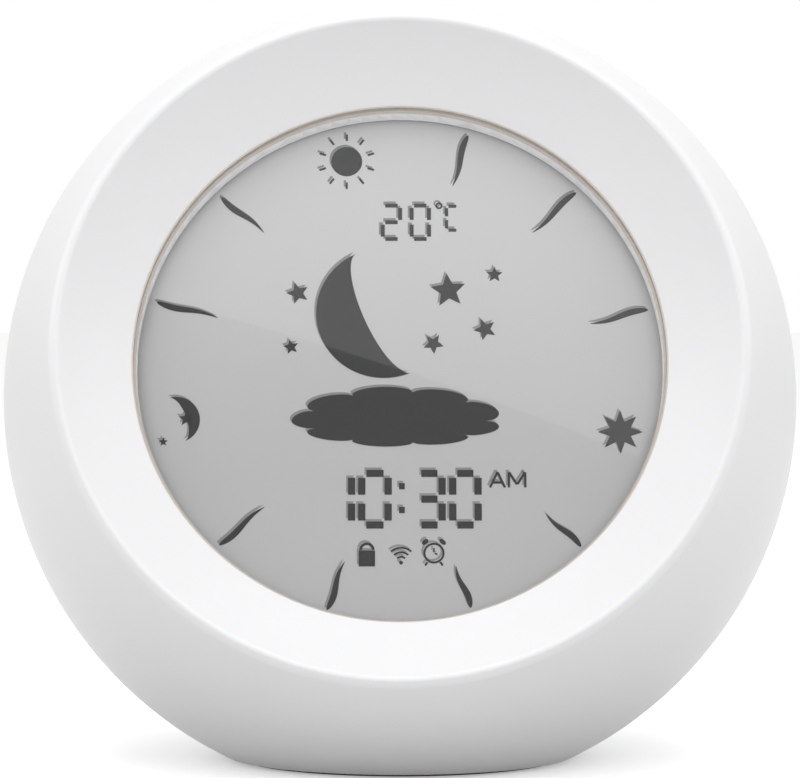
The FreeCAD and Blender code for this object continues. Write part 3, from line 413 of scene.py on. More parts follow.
def make_pane(name, tint, gloss_roughness, haze, index):
    """A clear sheet that shows what is behind it and mirrors the room from its outer side only."""
    found = bpy.data.materials.get(name)
    if found:
        return found
    material = bpy.data.materials.new(name)
    material.use_nodes = True
    tree = material.node_tree
    add = tree.nodes.new
    link = tree.links.new
    tree.nodes.remove(tree.nodes["Principled BSDF"])
    out = tree.nodes["Material Output"]
    place = add("ShaderNodeTexCoord")
    smear = add("ShaderNodeTexNoise")
    smear.inputs["Scale"].default_value = 35.0
    smear.inputs["Detail"].default_value = 4.0
    link(place.outputs["Object"], smear.inputs["Vector"])
    cleared = add("ShaderNodeMapRange")
    cleared.inputs["To Min"].default_value = gloss_roughness
    cleared.inputs["To Max"].default_value = gloss_roughness + haze
    link(smear.outputs["Fac"], cleared.inputs["Value"])
    through = add("ShaderNodeBsdfTransparent")
    through.inputs["Color"].default_value = (*tint, 1.0)
    mirror = add("ShaderNodeBsdfGlossy")
    mirror.inputs["Color"].default_value = (1.0, 1.0, 1.0, 1.0)
    link(cleared.outputs["Result"], mirror.inputs["Roughness"])
    fresnel = add("ShaderNodeFresnel")
    fresnel.inputs["IOR"].default_value = index
    facing = add("ShaderNodeNewGeometry")
    outside = math_node(tree, "SUBTRACT", 1.0, facing.outputs["Backfacing"])
    share = math_node(tree, "MULTIPLY", fresnel.outputs["Fac"], outside)
    mixed = add("ShaderNodeMixShader")
    link(share, mixed.inputs["Fac"])
    link(through.outputs["BSDF"], mixed.inputs[1])
    link(mirror.outputs["BSDF"], mixed.inputs[2])
    link(mixed.outputs["Shader"], out.inputs["Surface"])
    return material


def finish_piece(mesh, name, body, material, stands_for=()):
    """Makes an object from a mesh, gives it its material, hangs it under its body and hides the solids it
    stands for.
    """
    piece = bpy.data.objects.new(name, mesh)
    bpy.context.scene.collection.objects.link(piece)
    mesh.materials.clear()
    mesh.materials.append(material)
    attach(piece, body)
    if stands_for:
        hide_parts(*stands_for)
    return piece


def dress_node(name, material):
    """Gives a carried-over solid its material."""
    piece = nodes[name]
    piece.data.materials.clear()
    piece.data.materials.append(material)


def merged_copy(name):
    """A copy of a solid's mesh with its loose triangles joined."""
    mesh = nodes[name].data.copy()
    mesh.name = name + "_surface"
    bm = bmesh.new()
    bm.from_mesh(mesh)
    bmesh.ops.remove_doubles(bm, verts=bm.verts, dist=0.002 * mm)
    bmesh.ops.dissolve_degenerate(bm, edges=bm.edges, dist=0.001 * mm)
    bm.to_mesh(mesh)
    bm.free()
    return mesh


def turned_normal(place, arc, sign):
    """The true normal of a curve turned about the display's axis, at a place in the display's frame."""
    reach = math.hypot(place.x, place.y)
    across = (reach - arc[0]) * sign
    along = (place.z - arc[1]) * sign
    if reach < 1e-9:
        return Vector((0.0, 0.0, along)).normalized()
    return Vector((place.x / reach * across, place.y / reach * across, along)).normalized()


def on_arc(place, arc):
    """Tells whether a place in the display's frame lies on a turned arc."""
    reach = math.hypot(place.x, place.y)
    return abs(math.hypot(reach - arc[0], place.z - arc[1]) - arc[2]) < arc_tolerance


def smooth_turned(mesh, arcs, sharp_angle):
    """Smooths a mesh, with the exact normals of the turned curves where its faces follow them."""
    to_face = face_frame.inverted()
    turn = face_frame.to_3x3()
    places = [to_face @ vertex.co for vertex in mesh.vertices]
    mesh.polygons.foreach_set("use_smooth", [True] * len(mesh.polygons))
    mesh.set_sharp_from_angle(angle=sharp_angle)
    normals = [Vector((0.0, 0.0, 0.0))] * len(mesh.loops)
    for polygon in mesh.polygons:
        for *arc, sign in arcs:
            if not all(on_arc(places[v], arc) for v in polygon.vertices):
                continue
            exact = [turn @ turned_normal(places[v], arc, sign) for v in polygon.vertices]
            if sum(exact, Vector()).normalized().dot(polygon.normal) > arc_agreement:
                for loop, normal in zip(polygon.loop_indices, exact):
                    normals[loop] = normal
                break
    mesh.normals_split_custom_set(normals)


def case_arcs():
    """The turned curves of the case as middle, radius and the side that the surface faces."""
    return [
        (*ball_arc, 1.0),
        (*inner_ball_arc, -1.0),
        (*dish_curve(), -1.0),
        (*lip_curve(), 1.0),
    ]


def dish_curve():
    """The arc of the dish, from the foot at the window to the crease."""
    foot = Vector((opening_radius, opening_height))
    crease = Vector((crease_radius, crease_height))
    chord = crease - foot
    radius = (chord.length ** 2 / 4 + dish_sag ** 2) / (2 * dish_sag)
    towards_solid = Vector((chord.y, -chord.x)).normalized()
    middle = (foot + crease) / 2 + towards_solid * (dish_sag - radius)
    return middle.x, middle.y, radius


def lip_curve():
    """The arc of the lip, which touches the ball and ends in the crease."""
    crease = Vector((crease_radius, crease_height))
    reach = ball_radius - lip_radius
    angle = math.atan2(crease.x, crease.y)
    squares = reach ** 2 + crease.length ** 2 - lip_radius ** 2
    touch = angle + math.acos(squares / (2 * reach * crease.length))
    return math.sin(touch) * reach, math.cos(touch) * reach, lip_radius


class CLOCK_OT_case(bpy.types.Operator):
    """Build the front and rear halves of the ball"""

    bl_idname = "clock.case"
    bl_label = "Case"

    def execute(self, context):
        case = context.scene.clock_case
        plastic = make_finish(
            "Matt white plastic", case.case_colour, 0.42, shift=0.02, shift_scale=14.0,
            rough_shift=0.05, grain=2200.0, bump=0.05, marks=0.08, specular=0.45,
        )
        for name in ("front_shell", "rear_shell"):
            mesh = merged_copy(name)
            smooth_turned(mesh, case_arcs(), case.sharp_angle)
            finish_piece(mesh, name + "_skin", "case", plastic, (name,))
        return {"FINISHED"}


def disc_mesh(name, radius, low, high, edge, steps, flat=None):
    """A round sheet in the display's frame with polished edges, cut straight above and below if asked."""
    rim_angle = math.radians(60.0)
    smooth_angle = math.radians(30.0)
    bm = bmesh.new()
    bmesh.ops.create_circle(bm, cap_ends=True, radius=radius, segments=steps)
    if flat:
        for side in (1.0, -1.0):
            everything = bm.verts[:] + bm.edges[:] + bm.faces[:]
            bmesh.ops.bisect_plane(
                bm, geom=everything, plane_co=(0.0, side * flat, 0.0),
                plane_no=(0.0, side, 0.0), clear_outer=True,
            )
    bmesh.ops.translate(bm, verts=bm.verts, vec=(0.0, 0.0, low))
    raised = bmesh.ops.extrude_face_region(bm, geom=bm.faces[:])
    top = [part for part in raised["geom"] if isinstance(part, bmesh.types.BMVert)]
    bmesh.ops.translate(bm, verts=top, vec=(0.0, 0.0, high - low))
    bmesh.ops.recalc_face_normals(bm, faces=bm.faces)
    if edge > 0.0:
        rims = [e for e in bm.edges if e.calc_face_angle(0.0) > rim_angle]
        bmesh.ops.bevel(
            bm, geom=rims, offset=edge, segments=3, profile=0.5, affect="EDGES", material=-1,
        )
    bmesh.ops.transform(bm, matrix=face_frame, verts=bm.verts)
    mesh = bpy.data.meshes.new(name)
    bm.to_mesh(mesh)
    bm.free()
    mesh.polygons.foreach_set("use_smooth", [True] * len(mesh.polygons))
    mesh.set_sharp_from_angle(angle=smooth_angle)
    return mesh


class CLOCK_OT_window(bpy.types.Operator):
    """Build the clear window and dress its gasket"""

    bl_idname = "clock.window"
    bl_label = "Window"

    def execute(self, context):
        display = context.scene.clock_display
        clear = make_pane("Clear window", clear_tint, 0.01, 0.02, 1.42)
        sheet = disc_mesh(
            "display_window", display.window_radius, window_back, window_front,
            display.window_edge, 256,
        )
        finish_piece(sheet, "clear_window", "case", clear, ("display_window",))
        rubber = make_finish("Gasket rubber", gasket_colour, 0.7, shift=0.12, shift_scale=90.0)
        dress_node("window_gasket", rubber)
        return {"FINISHED"}


def ground_material(colour):
    """The display's grey ground, uneven like a real one's, with painted light that makes it lighter towards
    the top.
    """
    material = make_finish(
        "Display ground and painted light", colour, 0.6, shift=0.025, shift_scale=9.0,
        rough_shift=0.05, grain=3500.0, bump=0.02, specular=0.2,
    )
    tree = material.node_tree
    add = tree.nodes.new
    link = tree.links.new
    shader = tree.nodes["Principled BSDF"]
    plain = shader.inputs["Base Color"].links[0].from_socket
    place = add("ShaderNodeTexCoord")
    parts = add("ShaderNodeSeparateXYZ")
    link(place.outputs["Object"], parts.inputs[0])
    # Painted light: the ground's colour is scaled up towards the top, standing in for the light that falls
    # there
    rise = add("ShaderNodeMapRange")
    rise.interpolation_type = "SMOOTHSTEP"
    rise.inputs["From Min"].default_value = centre.z + painted_light_start
    rise.inputs["From Max"].default_value = centre.z + painted_light_end
    rise.inputs["To Min"].default_value = painted_light_low_level
    rise.inputs["To Max"].default_value = painted_light_high_level
    link(parts.outputs["Z"], rise.inputs["Value"])
    lit = add("ShaderNodeVectorMath")
    lit.operation = "SCALE"
    link(plain, lit.inputs[0])
    link(rise.outputs["Result"], lit.inputs["Scale"])
    link(lit.outputs[0], shader.inputs["Base Color"])
    return material


class CLOCK_OT_display(bpy.types.Operator):
    """Dress the layers of the display"""

    bl_idname = "clock.display"
    bl_label = "Display layers"

    def execute(self, context):
        display = context.scene.clock_display
        pane = make_pane("Display glass", clear_tint, 0.05, 0.05, 1.12)
        rear_pane = make_pane("Rear glass", rear_glass_tint, 0.03, 0.02, 1.45)
        glass = disc_mesh(
            "front_glass", glass_radius, glass_back + glass_lift, glass_front,
            glass_edge, 192, glass_half_height,
        )
        finish_piece(glass, "front_glass", "case", pane, ("lcd_front_glass",))
        dress_node("lcd_rear_glass", rear_pane)
        dress_node("lcd_crystal_layer", ground_material(display.ground_colour))
        foam = make_finish("Foam", foam_colour, 0.9, shift=0.4, grain=1200.0, bump=0.3)
        dress_node("display_foam_ring", foam)
        return {"FINISHED"}


class Sketch:
    """Flat shapes drawn on the display, in its frame, in millimetres."""

    def __init__(self):
        self.bm = bmesh.new()

    def put(self, verts, x, y, turn=0.0):
        """Turns new corners about the sketch's origin and moves them to their place."""
        bmesh.ops.rotate(self.bm, verts=verts, cent=(0, 0, 0), matrix=Matrix.Rotation(turn, 3, "Z"))
        bmesh.ops.translate(self.bm, verts=verts, vec=(x, y, 0.0))

    def bar(self, start, end, width, point=1.0):
        """A straight segment with pointed ends."""
        run = Vector(end) - Vector(start)
        made = bmesh.ops.create_circle(self.bm, cap_ends=True, radius=1.0, segments=6)["verts"]
        for vert in made:
            at_tip = abs(vert.co.y) < 0.1
            side = 1.0 if vert.co.x > 0 else -1.0
            inset = 0.0 if at_tip else width / 2 * point
            vert.co.x = side * (run.length / 2 - inset)
            vert.co.y = 0.0 if at_tip else math.copysign(width / 2, vert.co.y)
        middle = (Vector(start) + Vector(end)) / 2
        self.put(made, middle.x, middle.y, math.atan2(run.y, run.x))

    def brush(self, thick, thin, width, sway):
        """A brush stroke that swells at one end and sways a little along its way."""
        run = Vector(thin) - Vector(thick)
        made = bmesh.ops.create_circle(self.bm, cap_ends=True, radius=1.0, segments=36)["verts"]
        for vert in made:
            along = vert.co.x
            fat = width * (0.62 - 0.34 * along)
            vert.co.y = vert.co.y * fat / 2 + sway * math.sin(along * math.pi)
            vert.co.x = along * run.length / 2
        middle = (Vector(thick) + Vector(thin)) / 2
        self.put(made, middle.x, middle.y, math.atan2(run.y, run.x))

    def disc(self, x, y, radius, squash=1.0, turn=0.0):
        """A filled circle or oval."""
        made = bmesh.ops.create_circle(self.bm, cap_ends=True, radius=radius, segments=40)["verts"]
        bmesh.ops.scale(self.bm, verts=made, vec=(1.0, squash, 1.0))
        self.put(made, x, y, turn)

    def arc(self, x, y, radius, width, start, sweep):
        """A band along part of a circle."""
        steps = max(4, int(abs(sweep) / math.radians(6.0)))
        inner = self.bm.verts.new((radius - width / 2, 0.0, 0.0))
        outer = self.bm.verts.new((radius + width / 2, 0.0, 0.0))
        edge = self.bm.edges.new((inner, outer))
        before = set(self.bm.verts)
        bmesh.ops.spin(
            self.bm, geom=[inner, outer, edge], cent=(0, 0, 0), axis=(0, 0, 1),
            angle=sweep, steps=steps,
        )
        made = [v for v in self.bm.verts if v not in before] + [inner, outer]
        self.put(made, x, y, start)

    def star(self, x, y, radius, points=5, waist=0.45, turn=0.0):
        """A star with straight rays."""
        made = bmesh.ops.create_circle(self.bm, cap_ends=True, radius=1.0, segments=2 * points)["verts"]
        for number, vert in enumerate(made):
            vert.co *= radius * (1.0 if number % 2 == 0 else waist)
        self.put(made, x, y, turn)

    def crescent(self, x, y, radius, turn, bite=0.5):
        """A moon whose inner edge is drawn back."""
        made = bmesh.ops.create_circle(self.bm, cap_ends=True, radius=radius, segments=72)["verts"]
        for vert in made:
            if vert.co.x > 0.0:
                vert.co.x *= -bite
        self.put(made, x, y, turn)

    def cloud(self, x, y, half_width, half_height, puffs):
        """A cloud with round puffs and a flatter foot."""
        made = bmesh.ops.create_circle(self.bm, cap_ends=True, radius=1.0, segments=216)["verts"]
        for vert in made:
            angle = math.atan2(vert.co.y, vert.co.x)
            puff = 0.84 + 0.16 * math.sqrt(abs(math.sin(angle * puffs / 2)))
            vert.co.x *= half_width * puff
            vert.co.y *= half_height * puff * (1.0 if vert.co.y > 0.0 else 0.75)
        self.put(made, x, y)

    def mesh(self, name, height, shift=(0.0, 0.0)):
        """A flat mesh of the sketch, in place behind the window."""
        bm = self.bm.copy()
        bmesh.ops.scale(bm, verts=bm.verts, vec=(mm, mm, mm))
        bmesh.ops.translate(bm, verts=bm.verts, vec=(shift[0], shift[1], height))
        for face in bm.faces:
            if face.normal.z == 0.0:
                face.normal_update()
        flipped = [f for f in bm.faces if f.normal.z < 0.0]
        bmesh.ops.reverse_faces(bm, faces=flipped)
        bmesh.ops.transform(bm, matrix=face_frame, verts=bm.verts)
        mesh = bpy.data.meshes.new(name)
        bm.to_mesh(mesh)
        bm.free()
        return mesh


# Hour marks: the thick end and the thin end of each stroke, across and up
hour_strokes = (
    ((12.8, 46.0), (9.8, 35.9)),
    ((33.0, 34.7), (24.7, 26.8)),
    ((46.1, 11.8), (35.3, 9.1)),
    ((33.1, -33.4), (26.8, -27.2)),
    ((12.9, -44.8), (10.2, -37.0)),
    ((-13.3, -45.2), (-10.1, -36.2)),
    ((-33.1, -33.1), (-24.8, -25.9)),
    ((-45.2, 13.3), (-33.8, 10.2)),
    ((-33.4, 33.7), (-25.4, 26.8)),
)
stroke_width = 1.7
stroke_sway = 0.28

# The little sun above the figures, in the gap between two hour marks
sun_place = Vector((-10.0, 40.8))
sun_radius = 2.9
sun_rays = 10
sun_first_ray = 18.0
ray_start = 3.9
ray_end = 5.6
ray_width = 0.42

# Figures of seven bars: the figure, its left edge and its right edge
time_figures = (("1", -11.4, -8.2), ("0", -7.7, -1.5), ("3", 2.4, 8.4), ("0", 9.0, 15.0))
time_low = -30.0
time_high = -18.9
time_bar_width = 1.35
temperature_figures = (("2", -3.6, 0.4), ("0", 1.8, 5.8))
temperature_low = 25.2
temperature_high = 32.5
temperature_bar_width = 0.75

# The two dots between the hours and the minutes
colon_place = 0.35
colon_heights = (-22.0, -26.5)
colon_half_length = 0.65
colon_width = 1.2
colon_point = 0.2

# The degree ring and the letter of the unit
degree_place = (7.3, 32.1)
degree_radius = 0.5
degree_width = 0.35
unit_left = 8.4
unit_right = 11.2
unit_low = 27.0
unit_high = 32.3
unit_bar_width = 0.6

# The strokes of the two letters that tell the half of the day
letter_low = -22.3
letter_high = -19.3
letter_crossbar = letter_low + 1.0
letter_valley = letter_low + 0.6
letter_width = 0.45
letter_point = 0.3
letter_strokes = (
    ((16.5, letter_low), (17.9, letter_high)),
    ((17.9, letter_high), (19.3, letter_low)),
    ((17.0, letter_crossbar), (18.8, letter_crossbar)),
    ((20.0, letter_low), (20.0, letter_high)),
    ((20.0, letter_high), (21.5, letter_valley)),
    ((21.5, letter_valley), (23.0, letter_high)),
    ((23.0, letter_high), (23.0, letter_low)),
)

# The lock: its body and its shackle
lock_place = -6.05
lock_body_middle = -35.6
lock_body_half_width = 1.8
lock_body_height = 3.0
lock_body_point = 0.2
shackle_foot = -34.0
shackle_radius = 1.15
shackle_width = 0.5

# The radio waves: a dot with arcs above it
wave_place = Vector((0.2, -36.4))
wave_dot_radius = 0.35
wave_count = 3
wave_first_radius = 0.25
wave_step = 0.85
wave_width = 0.36
wave_start = math.radians(48.0)
wave_sweep = math.radians(84.0)

# The alarm symbol: a small clock with two hands, two bells and two feet
alarm_place = Vector((6.2, -34.6))
alarm_radius = 1.75
alarm_ring_width = 0.4
alarm_hands = ((0.0, 1.1), (0.8, -0.3))
alarm_hand_width = 0.3
bell_across = 1.6
bell_up = 2.1
bell_radius = 0.7
bell_squash = 0.6
bell_turn = math.radians(-40.0)
foot_start = (1.1, -1.5)
foot_end = (1.7, -2.5)
foot_width = 0.4

# The picture: a moon, a bank of cloud, and stars by place, radius and turn
moon_place = (-3.0, 11.2)
moon_radius = 12.6
moon_turn = math.radians(24.0)
moon_bite = 0.3
sky_stars = (
    (9.0, 15.5, 3.4, 0.1),
    (15.8, 8.0, 2.2, 0.4),
    (6.2, 5.2, 2.0, 0.7),
    (-19.0, 15.0, 2.2, 0.3),
    (17.6, 18.6, 1.6, 0.0),
    (-20.2, 4.6, 1.5, 0.2),
)
cloud_place = (-0.5, -9.6)
cloud_half_width = 19.5
cloud_half_height = 6.6
cloud_puffs = 9

# The symbols at the sides: a star on the right, a moon and stars on the left
side_star_place = (40.6, -11.7)
side_star_radius = 4.2
side_star_points = 8
side_star_waist = 0.5
side_moon_place = (-41.3, -9.4)
side_moon_radius = 4.4
side_moon_turn = math.radians(200.0)
side_moon_bite = 0.45
side_small_stars = ((-39.4, -9.2, 1.5), (-43.6, -13.6, 0.9))

full_turn = math.radians(360.0)
half_turn = math.radians(180.0)

# How bright the soft shade of the symbols is, against the ground
shade_level = 0.5

# Which of the seven bars of a figure are on: top, upper left, upper right,
# middle, lower left, lower right, bottom
lit_bars = {"0": "1110111", "1": "0010010", "2": "1011101", "3": "1011011", "C": "1100101"}


def seven_bar_figure(sketch, figure, left, right, low, high, width):
    """Draws one figure from the bars that are on."""
    gap = 0.12 * width
    middle = (low + high) / 2
    half = width / 2
    inner_left = left + half
    inner_right = right - half
    levels = (high - half, middle, low + half)
    bars = (
        ((inner_left + gap, levels[0]), (inner_right - gap, levels[0])),
        ((inner_left, levels[1] + gap), (inner_left, levels[0] - gap)),
        ((inner_right, levels[1] + gap), (inner_right, levels[0] - gap)),
        ((inner_left + gap, levels[1]), (inner_right - gap, levels[1])),
        ((inner_left, levels[2] + gap), (inner_left, levels[1] - gap)),
        ((inner_right, levels[2] + gap), (inner_right, levels[1] - gap)),
        ((inner_left + gap, levels[2]), (inner_right - gap, levels[2])),
    )
    for on, (start, end) in zip(lit_bars[figure], bars):
        if on == "1":
            sketch.bar(start, end, width)


def draw_hours():
    """The brush strokes round the display and the little sun."""
    sketch = Sketch()
    for thick, thin in hour_strokes:
        sketch.brush(thick, thin, stroke_width, stroke_sway)
    sketch.disc(sun_place.x, sun_place.y, sun_radius)
    for number in range(sun_rays):
        angle = math.radians(360.0 / sun_rays * number + sun_first_ray)
        way = Vector((math.cos(angle), math.sin(angle)))
        sketch.bar(sun_place + way * ray_start, sun_place + way * ray_end, ray_width)
    return sketch


def draw_time():
    """The time, the temperature and the half of the day."""
    sketch = Sketch()
    for figure, left, right in time_figures:
        seven_bar_figure(sketch, figure, left, right, time_low, time_high, time_bar_width)
    for height in colon_heights:
        start = (colon_place - colon_half_length, height)
        end = (colon_place + colon_half_length, height)
        sketch.bar(start, end, colon_width, colon_point)
    for figure, left, right in temperature_figures:
        seven_bar_figure(
            sketch, figure, left, right, temperature_low, temperature_high, temperature_bar_width
        )
    sketch.arc(*degree_place, degree_radius, degree_width, 0.0, full_turn)
    seven_bar_figure(sketch, "C", unit_left, unit_right, unit_low, unit_high, unit_bar_width)
    for start, end in letter_strokes:
        sketch.bar(start, end, letter_width, letter_point)
    return sketch


def draw_icons():
    """The lock, the radio waves and the alarm symbol below the time."""
    sketch = Sketch()
    body_left = (lock_place - lock_body_half_width, lock_body_middle)
    body_right = (lock_place + lock_body_half_width, lock_body_middle)
    sketch.bar(body_left, body_right, lock_body_height, lock_body_point)
    sketch.arc(lock_place, shackle_foot, shackle_radius, shackle_width, 0.0, half_turn)
    sketch.disc(wave_place.x, wave_place.y, wave_dot_radius)
    for number in range(1, wave_count + 1):
        radius = wave_first_radius + number * wave_step
        sketch.arc(wave_place.x, wave_place.y, radius, wave_width, wave_start, wave_sweep)
    sketch.arc(alarm_place.x, alarm_place.y, alarm_radius, alarm_ring_width, 0.0, full_turn)
    for tip in alarm_hands:
        sketch.bar(alarm_place, alarm_place + Vector(tip), alarm_hand_width)
    for side in (-1.0, 1.0):
        bell_x = alarm_place.x + side * bell_across
        bell_y = alarm_place.y + bell_up
        sketch.disc(bell_x, bell_y, bell_radius, bell_squash, side * bell_turn)
        start = alarm_place + Vector((side * foot_start[0], foot_start[1]))
        end = alarm_place + Vector((side * foot_end[0], foot_end[1]))
        sketch.bar(start, end, foot_width)
    return sketch


def draw_picture():
    """A plain night sky: a crescent moon over a bank of cloud, with stars round it."""
    sketch = Sketch()
    sketch.crescent(*moon_place, moon_radius, moon_turn, moon_bite)
    for x, y, radius, turn in sky_stars:
        sketch.star(x, y, radius, turn=turn)
    return sketch


def draw_clouds():
    """The bank of cloud under the moon."""
    sketch = Sketch()
    sketch.cloud(*cloud_place, cloud_half_width, cloud_half_height, cloud_puffs)
    return sketch


def draw_side_symbols():
    """A many-rayed star on the right and a small moon with stars on the left."""
    sketch = Sketch()
    sketch.star(*side_star_place, side_star_radius, points=side_star_points, waist=side_star_waist)
    sketch.crescent(*side_moon_place, side_moon_radius, side_moon_turn, side_moon_bite)
    for x, y, radius in side_small_stars:
        sketch.star(x, y, radius)
    return sketch


class CLOCK_OT_symbols(bpy.types.Operator):
    """Draw the symbols of the display and their soft shade"""

    bl_idname = "clock.symbols"
    bl_label = "Symbols"

    def execute(self, context):
        display = context.scene.clock_display
        ink = make_finish("Display symbols", display.ink_colour, 0.5, shift=0.1, grain=3000.0, specular=0.2)
        shade_colour = [shade_level * part for part in display.ground_colour]
        shade = make_finish("Symbol shade", shade_colour, 0.6, shift=0.05, specular=0.2)
        drawings = {
            "hour_marks": draw_hours(),
            "time_figures": draw_time(),
            "status_icons": draw_icons(),
            "moon_and_stars": draw_picture(),
            "cloud_bank": draw_clouds(),
            "side_symbols": draw_side_symbols(),
        }
        for name, sketch in drawings.items():
            for suffix, height, shift, material in (
                ("", ink_height, (0.0, 0.0), ink),
                ("_shade", shade_height, display.shade_shift, shade),
            ):
                mesh = sketch.mesh(name + suffix, height, shift)
                finish_piece(mesh, name + suffix, "case", material)
            sketch.bm.free()
        return {"FINISHED"}


def carry_piece(name, suffix, material, sharp_angle):
    """A carried-over solid as a joined, smooth piece of its own."""
    mesh = merged_copy(name)
    mesh.polygons.foreach_set("use_smooth", [True] * len(mesh.polygons))
    mesh.set_sharp_from_angle(angle=sharp_angle)
    return finish_piece(mesh, name + suffix, body_of_node[name], material, (name,))


class CLOCK_OT_keys(bpy.types.Operator):
    """Build the caps of the keys"""

    bl_idname = "clock.keys"
    bl_label = "Keys"

    def execute(self, context):
        case = context.scene.clock_case
        plastic = make_finish(
            "Key plastic", case.key_colour, 0.38, shift=0.02, rough_shift=0.06, bump=0.03, marks=0.12,
        )
        for name in ("alarm_key", "down_key", "up_key", "mode_key", "night_light_key"):
            carry_piece(name, "_cap", plastic, case.sharp_angle)
        return {"FINISHED"}


class CLOCK_OT_base(bpy.types.Operator):
    """Build the base plate, the battery door and the non-slip ring"""

    bl_idname = "clock.base"
    bl_label = "Base"

    def execute(self, context):
        case = context.scene.clock_case
        plastic = make_finish("Base plastic", case.base_colour, 0.6, shift=0.03, grain=1500.0, bump=0.25)
        rubber = make_finish("Foot rubber", foot_colour, 0.85, shift=0.15, grain=1800.0, bump=0.3)
        carry_piece("base_plate", "_moulding", plastic, case.sharp_angle)
        carry_piece("battery_door", "_moulding", plastic, case.sharp_angle)
        carry_piece("non_slip_ring", "_moulding", rubber, case.sharp_angle)
        return {"FINISHED"}


# Finishes of the pieces inside: colour, roughness, metallic, slow shift and the height of the grain
inside_finishes = {
    "speaker_gasket": ("Foam", foam_colour, 0.9, 0.0, 0.4, 0.3),
    "light_guide": ("Light guide", (0.82, 0.86, 0.86), 0.15, 0.0, 0.03, 0.01),
    "film_white": ("Film", (0.82, 0.82, 0.82), 0.5, 0.0, 0.03, 0.02),
    "led_white": ("Lamp body", (0.85, 0.80, 0.55), 0.3, 0.0, 0.1, 0.02),
    "tray_white": ("Tray plastic", (0.66, 0.66, 0.64), 0.5, 0.0, 0.04, 0.1),
    "screw_steel": ("Zinc steel", (0.56, 0.56, 0.57), 0.35, 1.0, 0.12, 0.08),
    "board_green": ("Board lacquer", (0.02, 0.17, 0.07), 0.35, 0.0, 0.2, 0.05),
    "chip_black": ("Black moulding", (0.02, 0.02, 0.022), 0.5, 0.0, 0.15, 0.08),
    "connector_cream": ("Cream moulding", (0.74, 0.68, 0.52), 0.5, 0.0, 0.05, 0.05),
    "metal_can": ("Tin plate", (0.68, 0.68, 0.68), 0.25, 1.0, 0.08, 0.05),
    "cell_jacket": ("Cell sleeve", (0.04, 0.055, 0.09), 0.3, 0.0, 0.06, 0.02),
    "speaker_metal": ("Pressed steel", (0.11, 0.11, 0.115), 0.4, 0.7, 0.1, 0.05),
    "paper_cone": ("Paper cone", (0.035, 0.035, 0.035), 0.9, 0.0, 0.3, 0.35),
}


class CLOCK_OT_insides(bpy.types.Operator):
    """Dress the pieces inside the case"""

    bl_idname = "clock.insides"
    bl_label = "Insides"

    def execute(self, context):
        slots = {
            "speaker_gasket": ["speaker_gasket"],
            "light_guide": ["backlight_guide"],
            "film_white": ["backlight_diffuser", "backlight_reflector"],
            "led_white": ["backlight_led_strip", "night_light_leds"],
            "tray_white": ["display_tray"],
            "screw_steel": [name for name in nodes if name.endswith("_screws")],
            "board_green": [name for name in nodes if name.endswith("_board")],
            "chip_black": [
                "processor_chip", "board_capacitors", "key_switches",
                "night_light_key_switch", "temperature_sensor",
            ] + [name for name in nodes if name.endswith("_plunger")],
            "connector_cream": ["board_connectors"],
            "metal_can": ["wireless_module", "usb_socket", "cell_contacts"],
            "cell_jacket": ["backup_cells"],
            "speaker_metal": ["speaker_basket", "speaker_magnet", "speaker_clamp"],
            "paper_cone": ["speaker_cone"],
        }
        for slot, names in slots.items():
            title, colour, roughness, metallic, shift, bump = inside_finishes[slot]
            material = make_finish(
                title, colour, roughness, shift=shift, shift_scale=80.0, bump=bump, metallic=metallic,
            )
            for name in names:
                dress_node(name, material)
        return {"FINISHED"}


def camera_share(tree):
    """A value of 1 for what the camera, mirrors and clear sheets see, and 0 for other light."""
    path = tree.nodes.new("ShaderNodeLightPath")
    seen = math_node(tree, "MAXIMUM", path.outputs["Is Camera Ray"], path.outputs["Is Glossy Ray"])
    return math_node(tree, "MAXIMUM", seen, path.outputs["Is Transmission Ray"])


def floor_material():
    """A pale floor that the camera sees as white with the clock's shadow on it."""
    material = bpy.data.materials.new("Floor")
    material.use_nodes = True
    tree = material.node_tree
    shader = tree.nodes["Principled BSDF"]
    shader.inputs["Roughness"].default_value = 0.9
    shader.inputs["Specular IOR Level"].default_value = 0.0
    choice = tree.nodes.new("ShaderNodeMix")
    choice.data_type = "RGBA"
    seen = camera_share(tree)
    tree.links.new(seen, choice.inputs["Factor"])
    choice.inputs["A"].default_value = (floor_bounce, floor_bounce, floor_bounce, 1.0)
    choice.inputs["B"].default_value = (1.0, 1.0, 1.0, 1.0)
    tree.links.new(choice.outputs["Result"], shader.inputs["Base Color"])
    glow = math_node(tree, "MULTIPLY", seen, floor_glow)
    tree.links.new(glow, shader.inputs["Emission Strength"])
    shader.inputs["Emission Color"].default_value = (1.0, 1.0, 1.0, 1.0)
    return material


def add_lamp(name, place, aim, size, power, roll=0.0):
    """A large soft lamp that looks at a point."""
    lamp = bpy.data.lights.new(name, "AREA")
    lamp.shape = "RECTANGLE"
    lamp.size = size[0]
    lamp.size_y = size[1]
    lamp.energy = power
    holder = bpy.data.objects.new(name, lamp)
    bpy.context.scene.collection.objects.link(holder)
    holder.location = place
    facing = (Vector(aim) - Vector(place)).to_track_quat("-Z", "Y")
    holder.rotation_euler = (facing @ Quaternion((0.0, 0.0, 1.0), roll)).to_euler()


